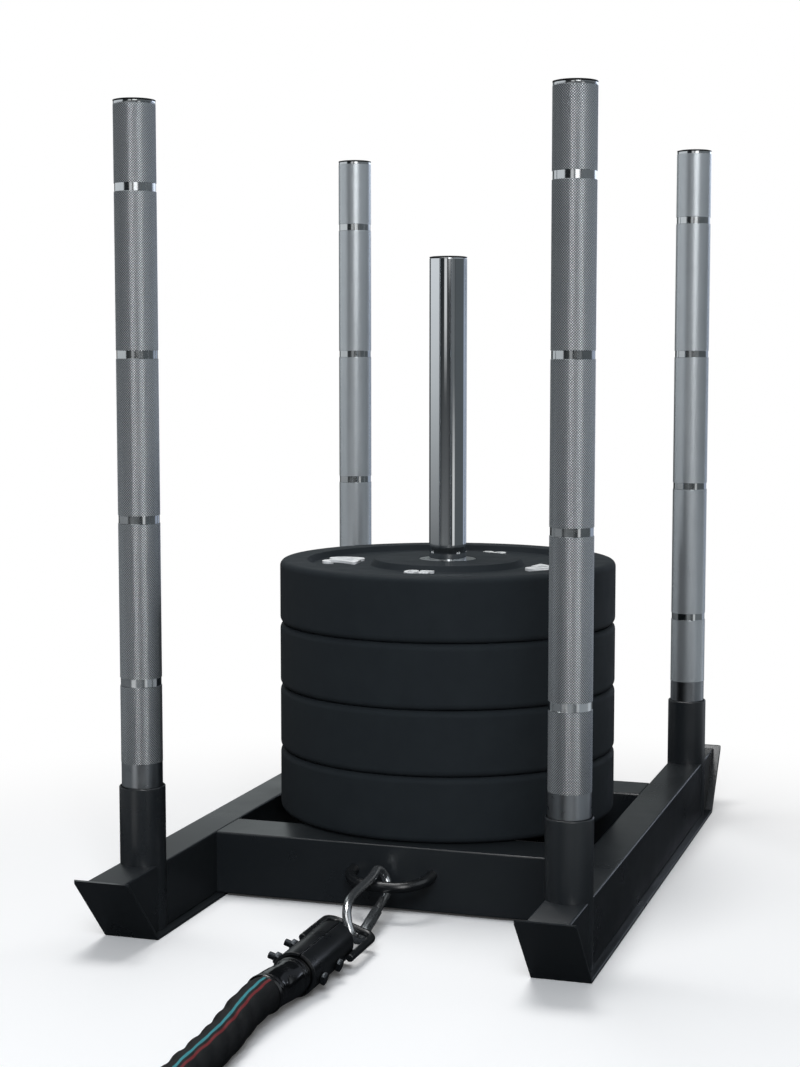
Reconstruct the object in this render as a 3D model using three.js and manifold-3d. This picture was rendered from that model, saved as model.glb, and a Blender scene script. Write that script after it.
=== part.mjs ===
// Push sled: a welded steel frame on two skids, with four knurled push poles in sockets,
// a chromed weight post loaded with four bumper plates, and a tow rope clamped to a quick link.
// Millimetres, +Z up, +Y towards the rear, origin on the floor under the middle of the frame.

import * as THREE from 'three';
import { mergeVertices } from 'three/addons/utils/BufferGeometryUtils.js';
import Module from 'manifold-3d';

const wasm = await Module();
wasm.setup();

// General allowances
const clearance = 0.3;
const overrun = 20;
const weldTolerance = 0.0001;
const roundFacets = 16;
const shellFacets = 32;

// Frame
const poleSpacingX = 525;
const poleSpacingY = 782;
const railWidth = 50;
const railHeight = 80;
const railCorner = 2.5;
const tubeWall = 3;
const crossDepth = 75;
const crossFaceY = 227;
const beamWidth = 60;

// Skids
const skidWidth = 70;
const skidThickness = 4;
const skidOverhang = 35.3;
const skidBend = 1;
const skidCorner = 6.5;
const lipHeight = 88;
const lipAngle = THREE.MathUtils.degToRad(47);

// Pole sockets
const socketWall = 2.4;
const socketTop = 178.6;
const socketRound = 2;

// Push poles
const poleDiameter = 50;
const poleWall = 3;
const poleTop = 987;
const bandCut = 0.7;
const bandWidth = 10;
const bandPitch = 194.2;
const lowestBand = 305;
const bandCount = 4;
const capThickness = 2.6;
const capDome = 1.4;
const capPlugLength = 18;
const capDomeShares = [[0.82, 0.62], [0.5, 0.92], [0, 1]];

// Weight post
const postDiameter = 50;
const postWall = 4;
const postTop = 820.4;
const postSetback = 13;
const postFillet = 1;

// Bumper plates
const plateCount = 4;
const plateDiameter = 450;
const platePitch = 84;
const plateEdge = 6;
const rimInnerDiameter = 376;
const hubDiameter = 196;
const faceRecess = 8.5;
const rimSlope = 4;
const hubSlope = 6;
const insertBore = 50.8;
const insertWall = 3.2;
const insertFlangeDiameter = 76;
const insertFlange = 3;
const insertInset = 0.4;
const plateFacets = 32;

// Tow eye
const eyeRod = 14;
const eyeSpan = 102;
const eyeReach = 47;
const eyeHeight = 50;
const eyeBend = 41;
const eyeDroop = THREE.MathUtils.degToRad(7);

// Quick link
const linkWire = 11;
const linkOffset = -3;
const linkAim = new THREE.Vector3(4, -385, 25);
const linkBackRadius = 15.6;
const linkBackRun = -17.4;
const linkFrontRadius = 17.8;
const linkFrontRun = 108.2;
const linkTwist = THREE.MathUtils.degToRad(66);
const linkDrop = 1.3;
const linkGate = 12;
const gateEngagement = 3;
const nutDiameter = 15;
const nutLength = 58;
const nutStart = 37;
const nutChamfer = 1.2;

// Rope clamp
const clampDiameter = 50;
const clampWall = 3.5;
const clampFront = 437;
const clampLength = 139;
const clampSeam = 1.2;
const clampRoll = THREE.MathUtils.degToRad(18);
const clampX = 2;
const clampZ = 27;
const bowRod = 9;
const bowBend = 13;
const bowFrontY = 387.4;
const bowStub = 38;

// Clamp bolts
const boltDiameter = 8;
const boltHeadFlats = 13;
const boltHeadHeight = 5.3;
const nutHeight = 6.5;
const boltTail = 8;
const boltFirstY = 504;
const boltPitch = 49;

// Rope
const ropeDiameter = 40;
const shrinkWall = 1.1;
const coilPitch = 41.5;
const coilOuterRadius = 318;
const coilEntry = new THREE.Vector2(144.4, -1104.4);
const coilEntryAngle = THREE.MathUtils.degToRad(50);
const coilTurnsIn = 3.5;
const coilTurnsOut = 2.5;
const coilStepsPerTurn = 24;
const coilSides = 6;
const freeSides = 12;
const ropeFloorZ = 20.3;
const endCapLength = 70;
const endCapShares = [[1, 0.86], [0.92, 0.95], [0.7, 1], [0, 1]];

// Hand-placed routes: the rope's end inside its clamp and sleeve, then the free rope on the floor
const sleeveRoute = [
  [2, -440, 27],
  [2, -500, 27],
  [2, -560, 27],
  [2, -580, 27],
  [0.6, -604, 27],
  [-3.8, -628, 26.9],
  [-4.6, -648, 26.8],
];
const ropeRoute = [
  [-4.6, -648.3, 26.8],
  [-5.4, -668.3, 26.7],
  [-5.6, -706, 24.2],
  [-3.7, -736, 21.6],
  [-1.3, -765, 20.5],
  [0.4, -800, 20.3],
  [1.6, -838, 20.3],
  [2.3, -868.6, 20.3],
  [6.1, -912, 20.3],
  [17.4, -954.1, 20.3],
  [35.8, -993.6, 20.3],
  [60.8, -1029.3, 20.3],
  [91.6, -1060.1, 20.3],
  [113.53, -1078.5, 20.3],
];

// Values worked out from the ones above
const skidFlatLength = poleSpacingY + 2 * skidOverhang;
const skidReach = skidFlatLength / 2 + lipHeight / Math.tan(lipAngle);
const railX = poleSpacingX / 2;
const poleY = poleSpacingY / 2;
const railBase = skidThickness + clearance;
const frameTop = railBase + railHeight;
const poleRadius = poleDiameter / 2;
const socketInner = poleRadius + clearance;
const socketOuter = socketInner + socketWall;
const crossInnerY = crossFaceY - crossDepth;
const plateThickness = platePitch - clearance;
const plateBase = frameTop + clearance;
const postRadius = postDiameter / 2;
const capInner = poleRadius - poleWall - clearance;
const boltPlaces = [0, 1].map((i) => clampFront - boltFirstY - i * boltPitch);

// Finishes, as seen in the photograph
const frameFinish = new THREE.MeshStandardMaterial({ color: 0x25292c, roughness: 0.42, metalness: 0.1 });
const steelFinish = new THREE.MeshStandardMaterial({ color: 0x9aa0a3, roughness: 0.35, metalness: 0.9 });
const chromeFinish = new THREE.MeshStandardMaterial({ color: 0xd8dcdf, roughness: 0.12, metalness: 1 });
const rubberFinish = new THREE.MeshStandardMaterial({ color: 0x24272a, roughness: 0.8, metalness: 0 });
const capFinish = new THREE.MeshStandardMaterial({ color: 0x101214, roughness: 0.2, metalness: 0 });
const blackSteelFinish = new THREE.MeshStandardMaterial({ color: 0x1b1d1f, roughness: 0.4, metalness: 0.6 });
const ropeFinish = new THREE.MeshStandardMaterial({ color: 0x17191b, roughness: 0.85, metalness: 0 });
const shrinkFinish = new THREE.MeshStandardMaterial({ color: 0x141618, roughness: 0.28, metalness: 0 });

// Merge shared corners so that the surface is one closed skin
function closed(geometry) {
  const bare = geometry.clone();
  bare.deleteAttribute('normal');
  bare.deleteAttribute('uv');
  const merged = mergeVertices(bare, weldTolerance);
  merged.computeVertexNormals();
  return merged;
}

function toSolid(geometry) {
  const skin = closed(geometry);
  return new wasm.Manifold(new wasm.Mesh({
    numProp: 3,
    vertProperties: new Float32Array(skin.attributes.position.array),
    triVerts: new Uint32Array(skin.index.array),
  }));
}

function toGeometry(solid) {
  const mesh = solid.getMesh();
  const geometry = new THREE.BufferGeometry();
  geometry.setAttribute('position', new THREE.BufferAttribute(mesh.vertProperties, 3));
  geometry.setIndex(new THREE.BufferAttribute(mesh.triVerts, 1));
  geometry.computeVertexNormals();
  return geometry;
}

function piece(name, geometry, material, parent) {
  const mesh = new THREE.Mesh(closed(geometry), material);
  mesh.name = name;
  parent.add(mesh);
  return mesh;
}

// Outline of a rectangle centred on u, from v0 up, with rounded corners
function roundedRect(path, u0, u1, v0, v1, radius) {
  path.moveTo(u0 + radius, v0);
  path.lineTo(u1 - radius, v0);
  path.absarc(u1 - radius, v0 + radius, radius, -Math.PI / 2, 0, false);
  path.lineTo(u1, v1 - radius);
  path.absarc(u1 - radius, v1 - radius, radius, 0, Math.PI / 2, false);
  path.lineTo(u0 + radius, v1);
  path.absarc(u0 + radius, v1 - radius, radius, Math.PI / 2, Math.PI, false);
  path.lineTo(u0, v0 + radius);
  path.absarc(u0 + radius, v0 + radius, radius, Math.PI, 1.5 * Math.PI, false);
  return path;
}

// Rectangular steel tube: section in u and v, run along the third axis of the basis
function boxTube(width, height, wall, corner, length, basis) {
  const outline = roundedRect(new THREE.Shape(), -width / 2, width / 2, 0, height, corner);
  const inner = width / 2 - wall;
  outline.holes.push(roundedRect(new THREE.Path(), -inner, inner, wall, height - wall, corner / 2));
  const settings = { depth: length, bevelEnabled: false, curveSegments: 2 };
  const geometry = new THREE.ExtrudeGeometry(outline, settings);
  geometry.translate(0, 0, -length / 2);
  return geometry.applyMatrix4(basis);
}

const alongY = new THREE.Matrix4().makeBasis(
  new THREE.Vector3(1, 0, 0),
  new THREE.Vector3(0, 0, 1),
  new THREE.Vector3(0, -1, 0),
);
const alongX = new THREE.Matrix4().makeBasis(
  new THREE.Vector3(0, 1, 0),
  new THREE.Vector3(0, 0, 1),
  new THREE.Vector3(1, 0, 0),
);

// Upright cylinder between two heights
function upright(radius, bottom, top, facets = roundFacets) {
  const geometry = new THREE.CylinderGeometry(radius, radius, top - bottom, facets);
  geometry.rotateX(Math.PI / 2);
  return geometry.translate(0, 0, (top + bottom) / 2);
}

// Body of revolution about Z from a closed profile of [radius, height] pairs
function revolve(profile, facets = roundFacets) {
  const points = profile.map(([radius, height]) => new THREE.Vector2(radius, height));
  if (points[0].x > 0) {
    points.push(points[0].clone());
  }
  return new THREE.LatheGeometry(points, facets).rotateX(Math.PI / 2);
}

// A rod's centre line: straight runs between corners, with a round bend at each corner
class BentRod extends THREE.Curve {
  constructor(corners, bend) {
    super();
    this.runs = [];
    let from = corners[0];
    for (let i = 1; i < corners.length - 1; i += 1) {
      const corner = corners[i];
      const back = corners[i - 1].clone().sub(corner).normalize();
      const ahead = corners[i + 1].clone().sub(corner).normalize();
      const half = back.angleTo(ahead) / 2;
      const setback = bend / Math.tan(half);
      const start = corner.clone().addScaledVector(back, setback);
      const end = corner.clone().addScaledVector(ahead, setback);
      const middle = back.clone().add(ahead).normalize();
      const centre = corner.clone().addScaledVector(middle, bend / Math.sin(half));
      this.addLine(from, start);
      this.addBend(centre, start, end, Math.PI - 2 * half);
      from = end;
    }
    this.addLine(from, corners[corners.length - 1]);
    this.length = this.runs.reduce((sum, run) => sum + run.length, 0);
  }

  addLine(from, to) {
    this.runs.push({ length: from.distanceTo(to), at: (share) => from.clone().lerp(to, share) });
  }

  addBend(centre, start, end, angle) {
    const first = start.clone().sub(centre);
    const last = end.clone().sub(centre);
    const at = (share) => centre.clone()
      .addScaledVector(first, Math.sin((1 - share) * angle) / Math.sin(angle))
      .addScaledVector(last, Math.sin(share * angle) / Math.sin(angle));
    this.runs.push({ length: first.length() * angle, at });
  }

  getPoint(share) {
    let rest = share * this.length;
    for (const run of this.runs) {
      if (rest <= run.length) {
        return run.at(rest / run.length);
      }
      rest -= run.length;
    }
    return this.runs[this.runs.length - 1].at(1);
  }
}

function rodAlong(curve, diameter, steps, sides) {
  const section = new THREE.Shape();
  for (let i = 0; i < sides; i += 1) {
    const turn = (2 * Math.PI * i) / sides;
    const at = [Math.cos(turn) * diameter / 2, Math.sin(turn) * diameter / 2];
    if (i === 0) {
      section.moveTo(...at);
    } else {
      section.lineTo(...at);
    }
  }
  section.closePath();
  return new THREE.ExtrudeGeometry(section, { steps, extrudePath: curve, bevelEnabled: false });
}

// Hexagonal bar along local X between two places
function hexAlongX(flats, from, to) {
  const geometry = new THREE.CylinderGeometry(flats / Math.sqrt(3), flats / Math.sqrt(3), to - from, 6);
  geometry.rotateZ(Math.PI / 2);
  return geometry.translate((from + to) / 2, 0, 0);
}

function barAlongX(diameter, from, to, facets) {
  const geometry = new THREE.CylinderGeometry(diameter / 2, diameter / 2, to - from, facets);
  geometry.rotateZ(Math.PI / 2);
  return geometry.translate((from + to) / 2, 0, 0);
}

// Side outline of one skid: a flat bar with both ends bent up, their tips cut level
function skidOutline() {
  const outline = new THREE.Shape();
  const inner = skidBend;
  const outer = skidBend + skidThickness;
  const centreY = skidFlatLength / 2 - outer * Math.tan(lipAngle / 2);
  const innerReach = skidReach - skidThickness / Math.sin(lipAngle);
  outline.moveTo(-centreY, 0);
  outline.lineTo(centreY, 0);
  outline.absarc(centreY, outer, outer, -Math.PI / 2, lipAngle - Math.PI / 2, false);
  outline.lineTo(skidReach, lipHeight);
  outline.lineTo(innerReach, lipHeight);
  outline.absarc(centreY, outer, inner, lipAngle - Math.PI / 2, -Math.PI / 2, true);
  outline.lineTo(-centreY, skidThickness);
  outline.absarc(-centreY, outer, inner, -Math.PI / 2, -Math.PI / 2 - lipAngle, true);
  outline.lineTo(-innerReach, lipHeight);
  outline.lineTo(-skidReach, lipHeight);
  outline.absarc(-centreY, outer, outer, -Math.PI / 2 - lipAngle, -Math.PI / 2, false);
  return outline;
}

function skid() {
  const half = skidWidth / 2;
  const settings = { depth: skidWidth, bevelEnabled: false, curveSegments: 4 };
  const bar = new THREE.ExtrudeGeometry(skidOutline(), settings);
  bar.translate(0, 0, -half).applyMatrix4(alongX);
  const plan = roundedRect(new THREE.Shape(), -half, half, -skidReach, skidReach, skidCorner);
  const depth = lipHeight + 2 * overrun;
  const trim = new THREE.ExtrudeGeometry(plan, { depth, bevelEnabled: false, curveSegments: 3 });
  trim.translate(0, 0, -overrun);
  return toGeometry(toSolid(bar).intersect(toSolid(trim)));
}

// Space in front of a rail's slanted end: everything past the inner face of the lip
function lipSpace() {
  const half = skidFlatLength / 2;
  const inset = (skidThickness + clearance) / Math.sin(lipAngle);
  const shape = new THREE.Shape();
  const rise = railHeight + 2 * overrun;
  shape.moveTo(half - inset - overrun / Math.tan(lipAngle), -overrun);
  shape.lineTo(half - inset + rise / Math.tan(lipAngle), rise);
  shape.lineTo(skidReach + rise, rise);
  shape.lineTo(skidReach + rise, -overrun);
  const width = railWidth + 2 * overrun;
  const geometry = new THREE.ExtrudeGeometry(shape, { depth: width, bevelEnabled: false });
  geometry.translate(0, 0, -width / 2);
  return toSolid(geometry.applyMatrix4(alongX));
}

// Rail tube run, cut round by the sockets that pass down through it
function railStock(length, centreY) {
  const stock = boxTube(railWidth, railHeight, tubeWall, railCorner, length, alongY);
  let solid = toSolid(stock.translate(0, centreY, railBase));
  for (const end of [-1, 1]) {
    const hole = upright(socketOuter + clearance, railBase - overrun, frameTop + overrun);
    solid = solid.subtract(toSolid(hole.translate(0, end * poleY, 0)));
  }
  return solid;
}

function railMiddle() {
  return toGeometry(railStock(poleSpacingY - 2 * clearance, 0));
}

// Short tube between a socket and the lip; end is -1 at the front and 1 at the rear
function railEnd(end) {
  const length = skidFlatLength / 2 + railHeight / Math.tan(lipAngle) - poleY + overrun;
  let solid = railStock(length, end * (poleY + length / 2));
  const space = lipSpace();
  solid = solid.subtract(end > 0 ? space : space.scale([1, -1, 1]));
  return toGeometry(solid);
}

// Socket tube, standing on the skid and passing up through the rail
function socket() {
  const profile = [
    [socketInner, railBase],
    [socketOuter, railBase],
    [socketOuter, socketTop - socketRound],
    [socketOuter - socketRound * (1 - Math.SQRT1_2), socketTop - socketRound * (1 - Math.SQRT1_2)],
    [socketOuter - socketRound, socketTop],
    [socketInner, socketTop],
  ];
  return revolve(profile);
}

// Post or pole cap: a shallow dome with a plug that fills the tube's mouth
function tubeCap(radius, plugRadius, top) {
  const seat = top + clearance;
  const rim = capThickness - capDome;
  return revolve([
    [0, seat - capPlugLength],
    [plugRadius, seat - capPlugLength],
    [plugRadius, seat],
    [radius, seat],
    [radius, seat + rim],
    ...capDomeShares.map(([across, rise]) => [radius * across, seat + rim + capDome * rise]),
  ]);
}

function pole() {
  const inner = poleRadius - poleWall;
  const band = poleRadius - bandCut;
  const profile = [
    [inner, railBase],
    [poleRadius, railBase],
  ];
  for (let i = 0; i < bandCount; i += 1) {
    const middle = lowestBand + i * bandPitch;
    profile.push([poleRadius, middle - bandWidth / 2]);
    profile.push([band, middle - bandWidth / 2]);
    profile.push([band, middle + bandWidth / 2]);
    profile.push([poleRadius, middle + bandWidth / 2]);
  }
  profile.push([poleRadius, poleTop]);
  profile.push([inner, poleTop]);
  return revolve(profile);
}

function post() {
  const inner = postRadius - postWall;
  const foot = railBase + tubeWall + clearance;
  return revolve([
    [inner, foot],
    [postRadius, foot],
    [postRadius, postTop - postFillet],
    [postRadius - postFillet, postTop],
    [inner, postTop],
  ]);
}

function centreBeam() {
  const length = 2 * (crossInnerY - clearance);
  const beam = toSolid(boxTube(beamWidth, railHeight, tubeWall, railCorner, length, alongY));
  const middle = railHeight / 2;
  const hole = upright(postRadius + clearance, middle, railHeight + overrun);
  return toGeometry(beam.subtract(toSolid(hole.translate(0, postSetback, 0))));
}

// Bumper plate: both faces have a flat rim, a sunken ring and a raised hub
function plate() {
  const outer = plateDiameter / 2;
  const rim = rimInnerDiameter / 2;
  const hub = hubDiameter / 2;
  const bore = insertBore / 2 + insertWall + clearance;
  const flange = insertFlangeDiameter / 2 + clearance;
  const seat = insertInset + insertFlange + clearance;
  const face = [
    [bore, plateThickness - seat],
    [flange, plateThickness - seat],
    [flange, plateThickness],
    [hub, plateThickness],
    [hub + hubSlope, plateThickness - faceRecess],
    [rim - rimSlope, plateThickness - faceRecess],
    [rim, plateThickness],
    [outer - plateEdge, plateThickness],
    [outer, plateThickness - plateEdge],
  ];
  const under = face.slice(3).reverse().map(([radius, height]) => [radius, plateThickness - height]);
  return revolve([...face, ...under, [bore, 0]].reverse(), plateFacets);
}

// Steel bush in the plate's bore, with a flange let into the hub
function plateInsert() {
  const bore = insertBore / 2;
  const top = plateThickness - insertInset;
  return revolve([
    [bore, insertInset],
    [bore + insertWall, insertInset],
    [bore + insertWall, top - insertFlange],
    [insertFlangeDiameter / 2, top - insertFlange],
    [insertFlangeDiameter / 2, top],
    [bore, top],
  ]);
}

// Tow eye: a round rod bent to a bow, its two ends trimmed flat against the crossmember
function towEye() {
  const inside = eyeRod;
  const corners = [
    new THREE.Vector3(-eyeSpan / 2, inside, 0),
    new THREE.Vector3(-eyeSpan / 2, -eyeReach, 0),
    new THREE.Vector3(eyeSpan / 2, -eyeReach, 0),
    new THREE.Vector3(eyeSpan / 2, inside, 0),
  ];
  const rod = rodAlong(new BentRod(corners, eyeBend), eyeRod, 24, 12);
  rod.rotateX(eyeDroop).translate(0, -crossFaceY, eyeHeight);
  const block = new THREE.BoxGeometry(eyeSpan + 4 * eyeRod, 4 * eyeRod, 4 * eyeRod);
  block.translate(0, 2 * eyeRod - crossFaceY - clearance, eyeHeight);
  return toGeometry(toSolid(rod).subtract(toSolid(block)));
}

// The link lies in its own plane: run along the tow direction, side across it
const eyeBarY = -crossFaceY - eyeReach * Math.cos(eyeDroop);
const eyeBarZ = eyeHeight - eyeReach * Math.sin(eyeDroop);
const linkCentre = new THREE.Vector3(linkOffset, eyeBarY, eyeBarZ - linkDrop);
const linkRun = linkAim.clone().sub(linkCentre).normalize();
const linkUp = new THREE.Vector3(-1, 0, 0).cross(linkRun).normalize();
const linkAcross = linkRun.clone().cross(linkUp).normalize();
const linkSide = linkAcross.clone().multiplyScalar(Math.cos(linkTwist))
  .addScaledVector(linkUp, Math.sin(linkTwist));

function linkPoint(run, side) {
  return linkCentre.clone().addScaledVector(linkRun, run).addScaledVector(linkSide, side);
}

// Centre line points of a half turn of the link about its own centre
function linkArc(run, side, radius, way) {
  const steps = 10;
  return Array.from({ length: steps + 1 }, (_, i) => {
    const turn = (Math.PI * i) / steps;
    return linkPoint(run + way * radius * Math.sin(turn), side + way * radius * Math.cos(turn));
  });
}

// Long quick link: a small back end, a wider front end and a gate parted under the nut
function quickLink() {
  const gateSide = -linkBackRadius;
  const frontSide = linkFrontRadius - linkBackRadius;
  const gateEnd = nutStart + nutLength - gateEngagement;
  const points = [
    linkPoint(gateEnd - linkGate, gateSide),
    linkPoint(0, gateSide),
    ...linkArc(linkBackRun, 0, linkBackRadius, -1),
    linkPoint(0, linkBackRadius),
    linkPoint(nutStart + nutLength / 2, linkBackRadius + frontSide),
    ...linkArc(linkFrontRun, frontSide, linkFrontRadius, 1),
    linkPoint(gateEnd + gateEngagement, gateSide),
    linkPoint(gateEnd, gateSide),
  ];
  return rodAlong(new THREE.CatmullRomCurve3(points, false, 'centripetal'), linkWire, 52, 8);
}

// Sleeve nut that closes the link's gate
function linkNut() {
  const bore = linkWire / 2 + clearance;
  const outer = nutDiameter / 2;
  return revolve([
    [bore, 0],
    [outer - nutChamfer, 0],
    [outer, nutChamfer],
    [outer, nutLength - nutChamfer],
    [outer - nutChamfer, nutLength],
    [bore, nutLength],
  ]);
}

// Half of the clamp's shell; side is -1 on the left and 1 on the right
function clampHalf(side) {
  const outer = clampDiameter / 2;
  const tube = revolve([
    [outer - clampWall, 0],
    [outer, 0],
    [outer, clampLength],
    [outer - clampWall, clampLength],
  ], shellFacets).rotateX(Math.PI / 2);
  const away = clampDiameter + clampSeam;
  const half = new THREE.BoxGeometry(away, 2 * clampLength + 2 * overrun, 2 * away);
  half.translate(side * (away / 2 + clampSeam / 2), 0, 0);
  let solid = toSolid(tube).intersect(toSolid(half));
  for (const y of boltPlaces) {
    const hole = barAlongX(boltDiameter + 2 * clearance, -away, away, 16);
    solid = solid.subtract(toSolid(hole.translate(0, y, 0)));
  }
  return toGeometry(solid);
}

// Rod bow welded to the sides of the clamp's shell
function clampBow() {
  const side = clampDiameter / 2 + bowRod / 2 + clearance;
  const front = clampFront - bowFrontY;
  const corners = [
    new THREE.Vector3(-side, -bowStub, 0),
    new THREE.Vector3(-side, front, 0),
    new THREE.Vector3(side, front, 0),
    new THREE.Vector3(side, -bowStub, 0),
  ];
  return rodAlong(new BentRod(corners, bowBend), bowRod, 28, 10);
}

function clampBolt() {
  const seat = clampDiameter / 2 + clearance;
  const head = toSolid(hexAlongX(boltHeadFlats, seat, seat + boltHeadHeight));
  const shank = toSolid(barAlongX(boltDiameter, -seat - nutHeight - boltTail, seat + boltHeadHeight / 2, 14));
  return toGeometry(head.add(shank));
}

function clampNut() {
  const seat = clampDiameter / 2 + clearance;
  const body = toSolid(hexAlongX(boltHeadFlats, -seat - nutHeight, -seat));
  const bore = barAlongX(boltDiameter + 2 * clearance, -seat - nutHeight - overrun, overrun - seat, 14);
  return toGeometry(body.subtract(toSolid(bore)));
}

// Rope's end, or the shrunk sleeve over it, with the two bolt holes across it
function boltedRound(outer, inner) {
  const section = new THREE.Shape().absarc(0, 0, outer, 0, 2 * Math.PI, false);
  if (inner > 0) {
    section.holes.push(new THREE.Path().absarc(0, 0, inner, 0, 2 * Math.PI, false));
  }
  const extrudePath = routeCurve(sleeveRoute);
  const settings = { steps: 10, curveSegments: 8, extrudePath, bevelEnabled: false };
  let solid = toSolid(new THREE.ExtrudeGeometry(section, settings));
  clamp.updateMatrixWorld();
  for (const y of boltPlaces) {
    const hole = barAlongX(boltDiameter + 2 * clearance, -clampDiameter, clampDiameter, 14);
    solid = solid.subtract(toSolid(hole.translate(0, y, 0).applyMatrix4(clamp.matrixWorld)));
  }
  return toGeometry(solid);
}

function routeCurve(route) {
  const points = route.map((place) => new THREE.Vector3(...place));
  return new THREE.CatmullRomCurve3(points, false, 'centripetal');
}

function towRope() {
  const curve = routeCurve(ropeRoute);
  const steps = Math.round(curve.getLength() / (2 * ropeDiameter));
  return { geometry: rodAlong(curve, ropeDiameter, steps, freeSides), length: curve.getLength() };
}

// Centre line of the coil: spirals in on the floor, climbs a layer in the half turn where
// it reverses, and spirals out again on top. A straight start leads in along the rope's
// own heading, and a straight end leads out along -Y
function coilLine() {
  const line = [];
  const radiusAt = (turns) => coilOuterRadius - coilPitch * (
    turns < coilTurnsIn ? turns : 2 * coilTurnsIn - turns
  );
  const heightAt = (turns) => {
    const share = THREE.MathUtils.clamp(2 * (turns - coilTurnsIn) + 0.5, 0, 1);
    return ropeFloorZ + coilPitch * (1 - Math.cos(Math.PI * share)) / 2;
  };
  const total = coilTurnsIn + coilTurnsOut + coilEntryAngle / (2 * Math.PI);
  const count = Math.round(total * coilStepsPerTurn);
  const outward = new THREE.Vector2(Math.cos(coilEntryAngle), Math.sin(coilEntryAngle));
  const centre = coilEntry.clone().addScaledVector(outward, -coilOuterRadius);
  line.push(new THREE.Vector3(
    coilEntry.x - ropeDiameter * outward.y,
    coilEntry.y + ropeDiameter * outward.x,
    ropeFloorZ,
  ));
  for (let i = 0; i <= count; i += 1) {
    const turns = (total * i) / count;
    const angle = coilEntryAngle - 2 * Math.PI * turns;
    const radius = radiusAt(turns);
    const x = centre.x + radius * Math.cos(angle);
    const y = centre.y + radius * Math.sin(angle);
    line.push(new THREE.Vector3(x, y, heightAt(turns)));
  }
  const last = line[line.length - 1];
  line.push(new THREE.Vector3(last.x, last.y - ropeDiameter, last.z));
  return line;
}

// Tube of flat-sided rings carried along a line of points, closed at both ends
function ringTube(line, diameter, sides) {
  const positions = [];
  const index = [];
  const up = new THREE.Vector3(0, 0, 1);
  line.forEach((point, i) => {
    const before = line[Math.max(i - 1, 0)];
    const after = line[Math.min(i + 1, line.length - 1)];
    const ahead = after.clone().sub(before).normalize();
    const across = ahead.clone().cross(up).normalize();
    const above = across.clone().cross(ahead);
    for (let side = 0; side < sides; side += 1) {
      const turn = (2 * Math.PI * side) / sides;
      const corner = point.clone()
        .addScaledVector(across, Math.cos(turn) * diameter / 2)
        .addScaledVector(above, Math.sin(turn) * diameter / 2);
      positions.push(corner.x, corner.y, corner.z);
    }
  });
  for (let i = 0; i < line.length - 1; i += 1) {
    for (let side = 0; side < sides; side += 1) {
      const next = (side + 1) % sides;
      const a = i * sides + side;
      const b = i * sides + next;
      index.push(a, a + sides, b, b, a + sides, b + sides);
    }
  }
  const lastRing = (line.length - 1) * sides;
  for (let side = 1; side < sides - 1; side += 1) {
    index.push(0, side, side + 1);
    index.push(lastRing, lastRing + side + 1, lastRing + side);
  }
  const geometry = new THREE.BufferGeometry();
  geometry.setAttribute('position', new THREE.Float32BufferAttribute(positions, 3));
  geometry.setIndex(index);
  return geometry;
}

// Least distance between turns of the coil, less its diameter, on points along the line
function leastSelfGap(line, diameter) {
  const samples = new THREE.CatmullRomCurve3(line, false, 'centripetal').getSpacedPoints(line.length * 4);
  const along = samples[0].distanceTo(samples[1]);
  const skip = Math.ceil((3 * diameter) / along);
  let least = Infinity;
  for (let i = 0; i < samples.length; i += 1) {
    for (let j = i + skip; j < samples.length; j += 1) {
      least = Math.min(least, samples[i].distanceTo(samples[j]) - diameter);
    }
  }
  return least;
}

// Shrunk cap on the rope's free end, lying on top of the coil
function ropeEndCap() {
  const outer = ropeDiameter / 2 + shrinkWall;
  return revolve([
    [0, clearance],
    [outer, clearance],
    ...endCapShares.map(([across, along]) => [outer * across, endCapLength * along]),
  ]).rotateX(Math.PI / 2);
}

// Assembly
const sled = new THREE.Group();

const crossTube = boxTube(crossDepth, railHeight, tubeWall, railCorner,
  poleSpacingX - railWidth - 2 * clearance, alongX);
piece('front_crossmember', crossTube, frameFinish, sled)
  .position.set(0, -crossFaceY + crossDepth / 2, railBase);
piece('rear_crossmember', crossTube, frameFinish, sled)
  .position.set(0, crossFaceY - crossDepth / 2, railBase);
piece('centre_beam', centreBeam(), frameFinish, sled).position.set(0, 0, railBase);

for (const [side, sign] of [['left', -1], ['right', 1]]) {
  piece(`${side}_rail`, railMiddle(), frameFinish, sled).position.x = sign * railX;
  piece(`${side}_rail_nose`, railEnd(-1), frameFinish, sled).position.x = sign * railX;
  piece(`${side}_rail_tail`, railEnd(1), frameFinish, sled).position.x = sign * railX;
  piece(`${side}_skid`, skid(), frameFinish, sled).position.x = sign * railX;
  for (const [end, way] of [['front', -1], ['rear', 1]]) {
    const place = [sign * railX, way * poleY, 0];
    piece(`${side}_${end}_socket`, socket(), frameFinish, sled).position.set(...place);
    piece(`${side}_${end}_pole`, pole(), steelFinish, sled).position.set(...place);
    piece(`${side}_${end}_pole_cap`, tubeCap(poleRadius, capInner, poleTop), capFinish, sled)
      .position.set(...place);
  }
}

piece('weight_post', post(), chromeFinish, sled).position.set(0, postSetback, 0);
piece('weight_post_cap', tubeCap(postRadius, postRadius - postWall - clearance, postTop), capFinish, sled)
  .position.set(0, postSetback, 0);
for (let i = 0; i < plateCount; i += 1) {
  const place = [0, postSetback, plateBase + i * platePitch];
  piece(`plate_${i + 1}`, plate(), rubberFinish, sled).position.set(...place);
  piece(`plate_insert_${i + 1}`, plateInsert(), steelFinish, sled).position.set(...place);
}
piece('tow_eye', towEye(), frameFinish, sled);

// Tow line: link, clamp and rope
piece('quick_link', quickLink(), chromeFinish, sled);
const nut = piece('quick_link_nut', linkNut(), steelFinish, sled);
nut.quaternion.setFromUnitVectors(new THREE.Vector3(0, 0, 1), linkRun);
nut.position.copy(linkPoint(nutStart, -linkBackRadius));

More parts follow.
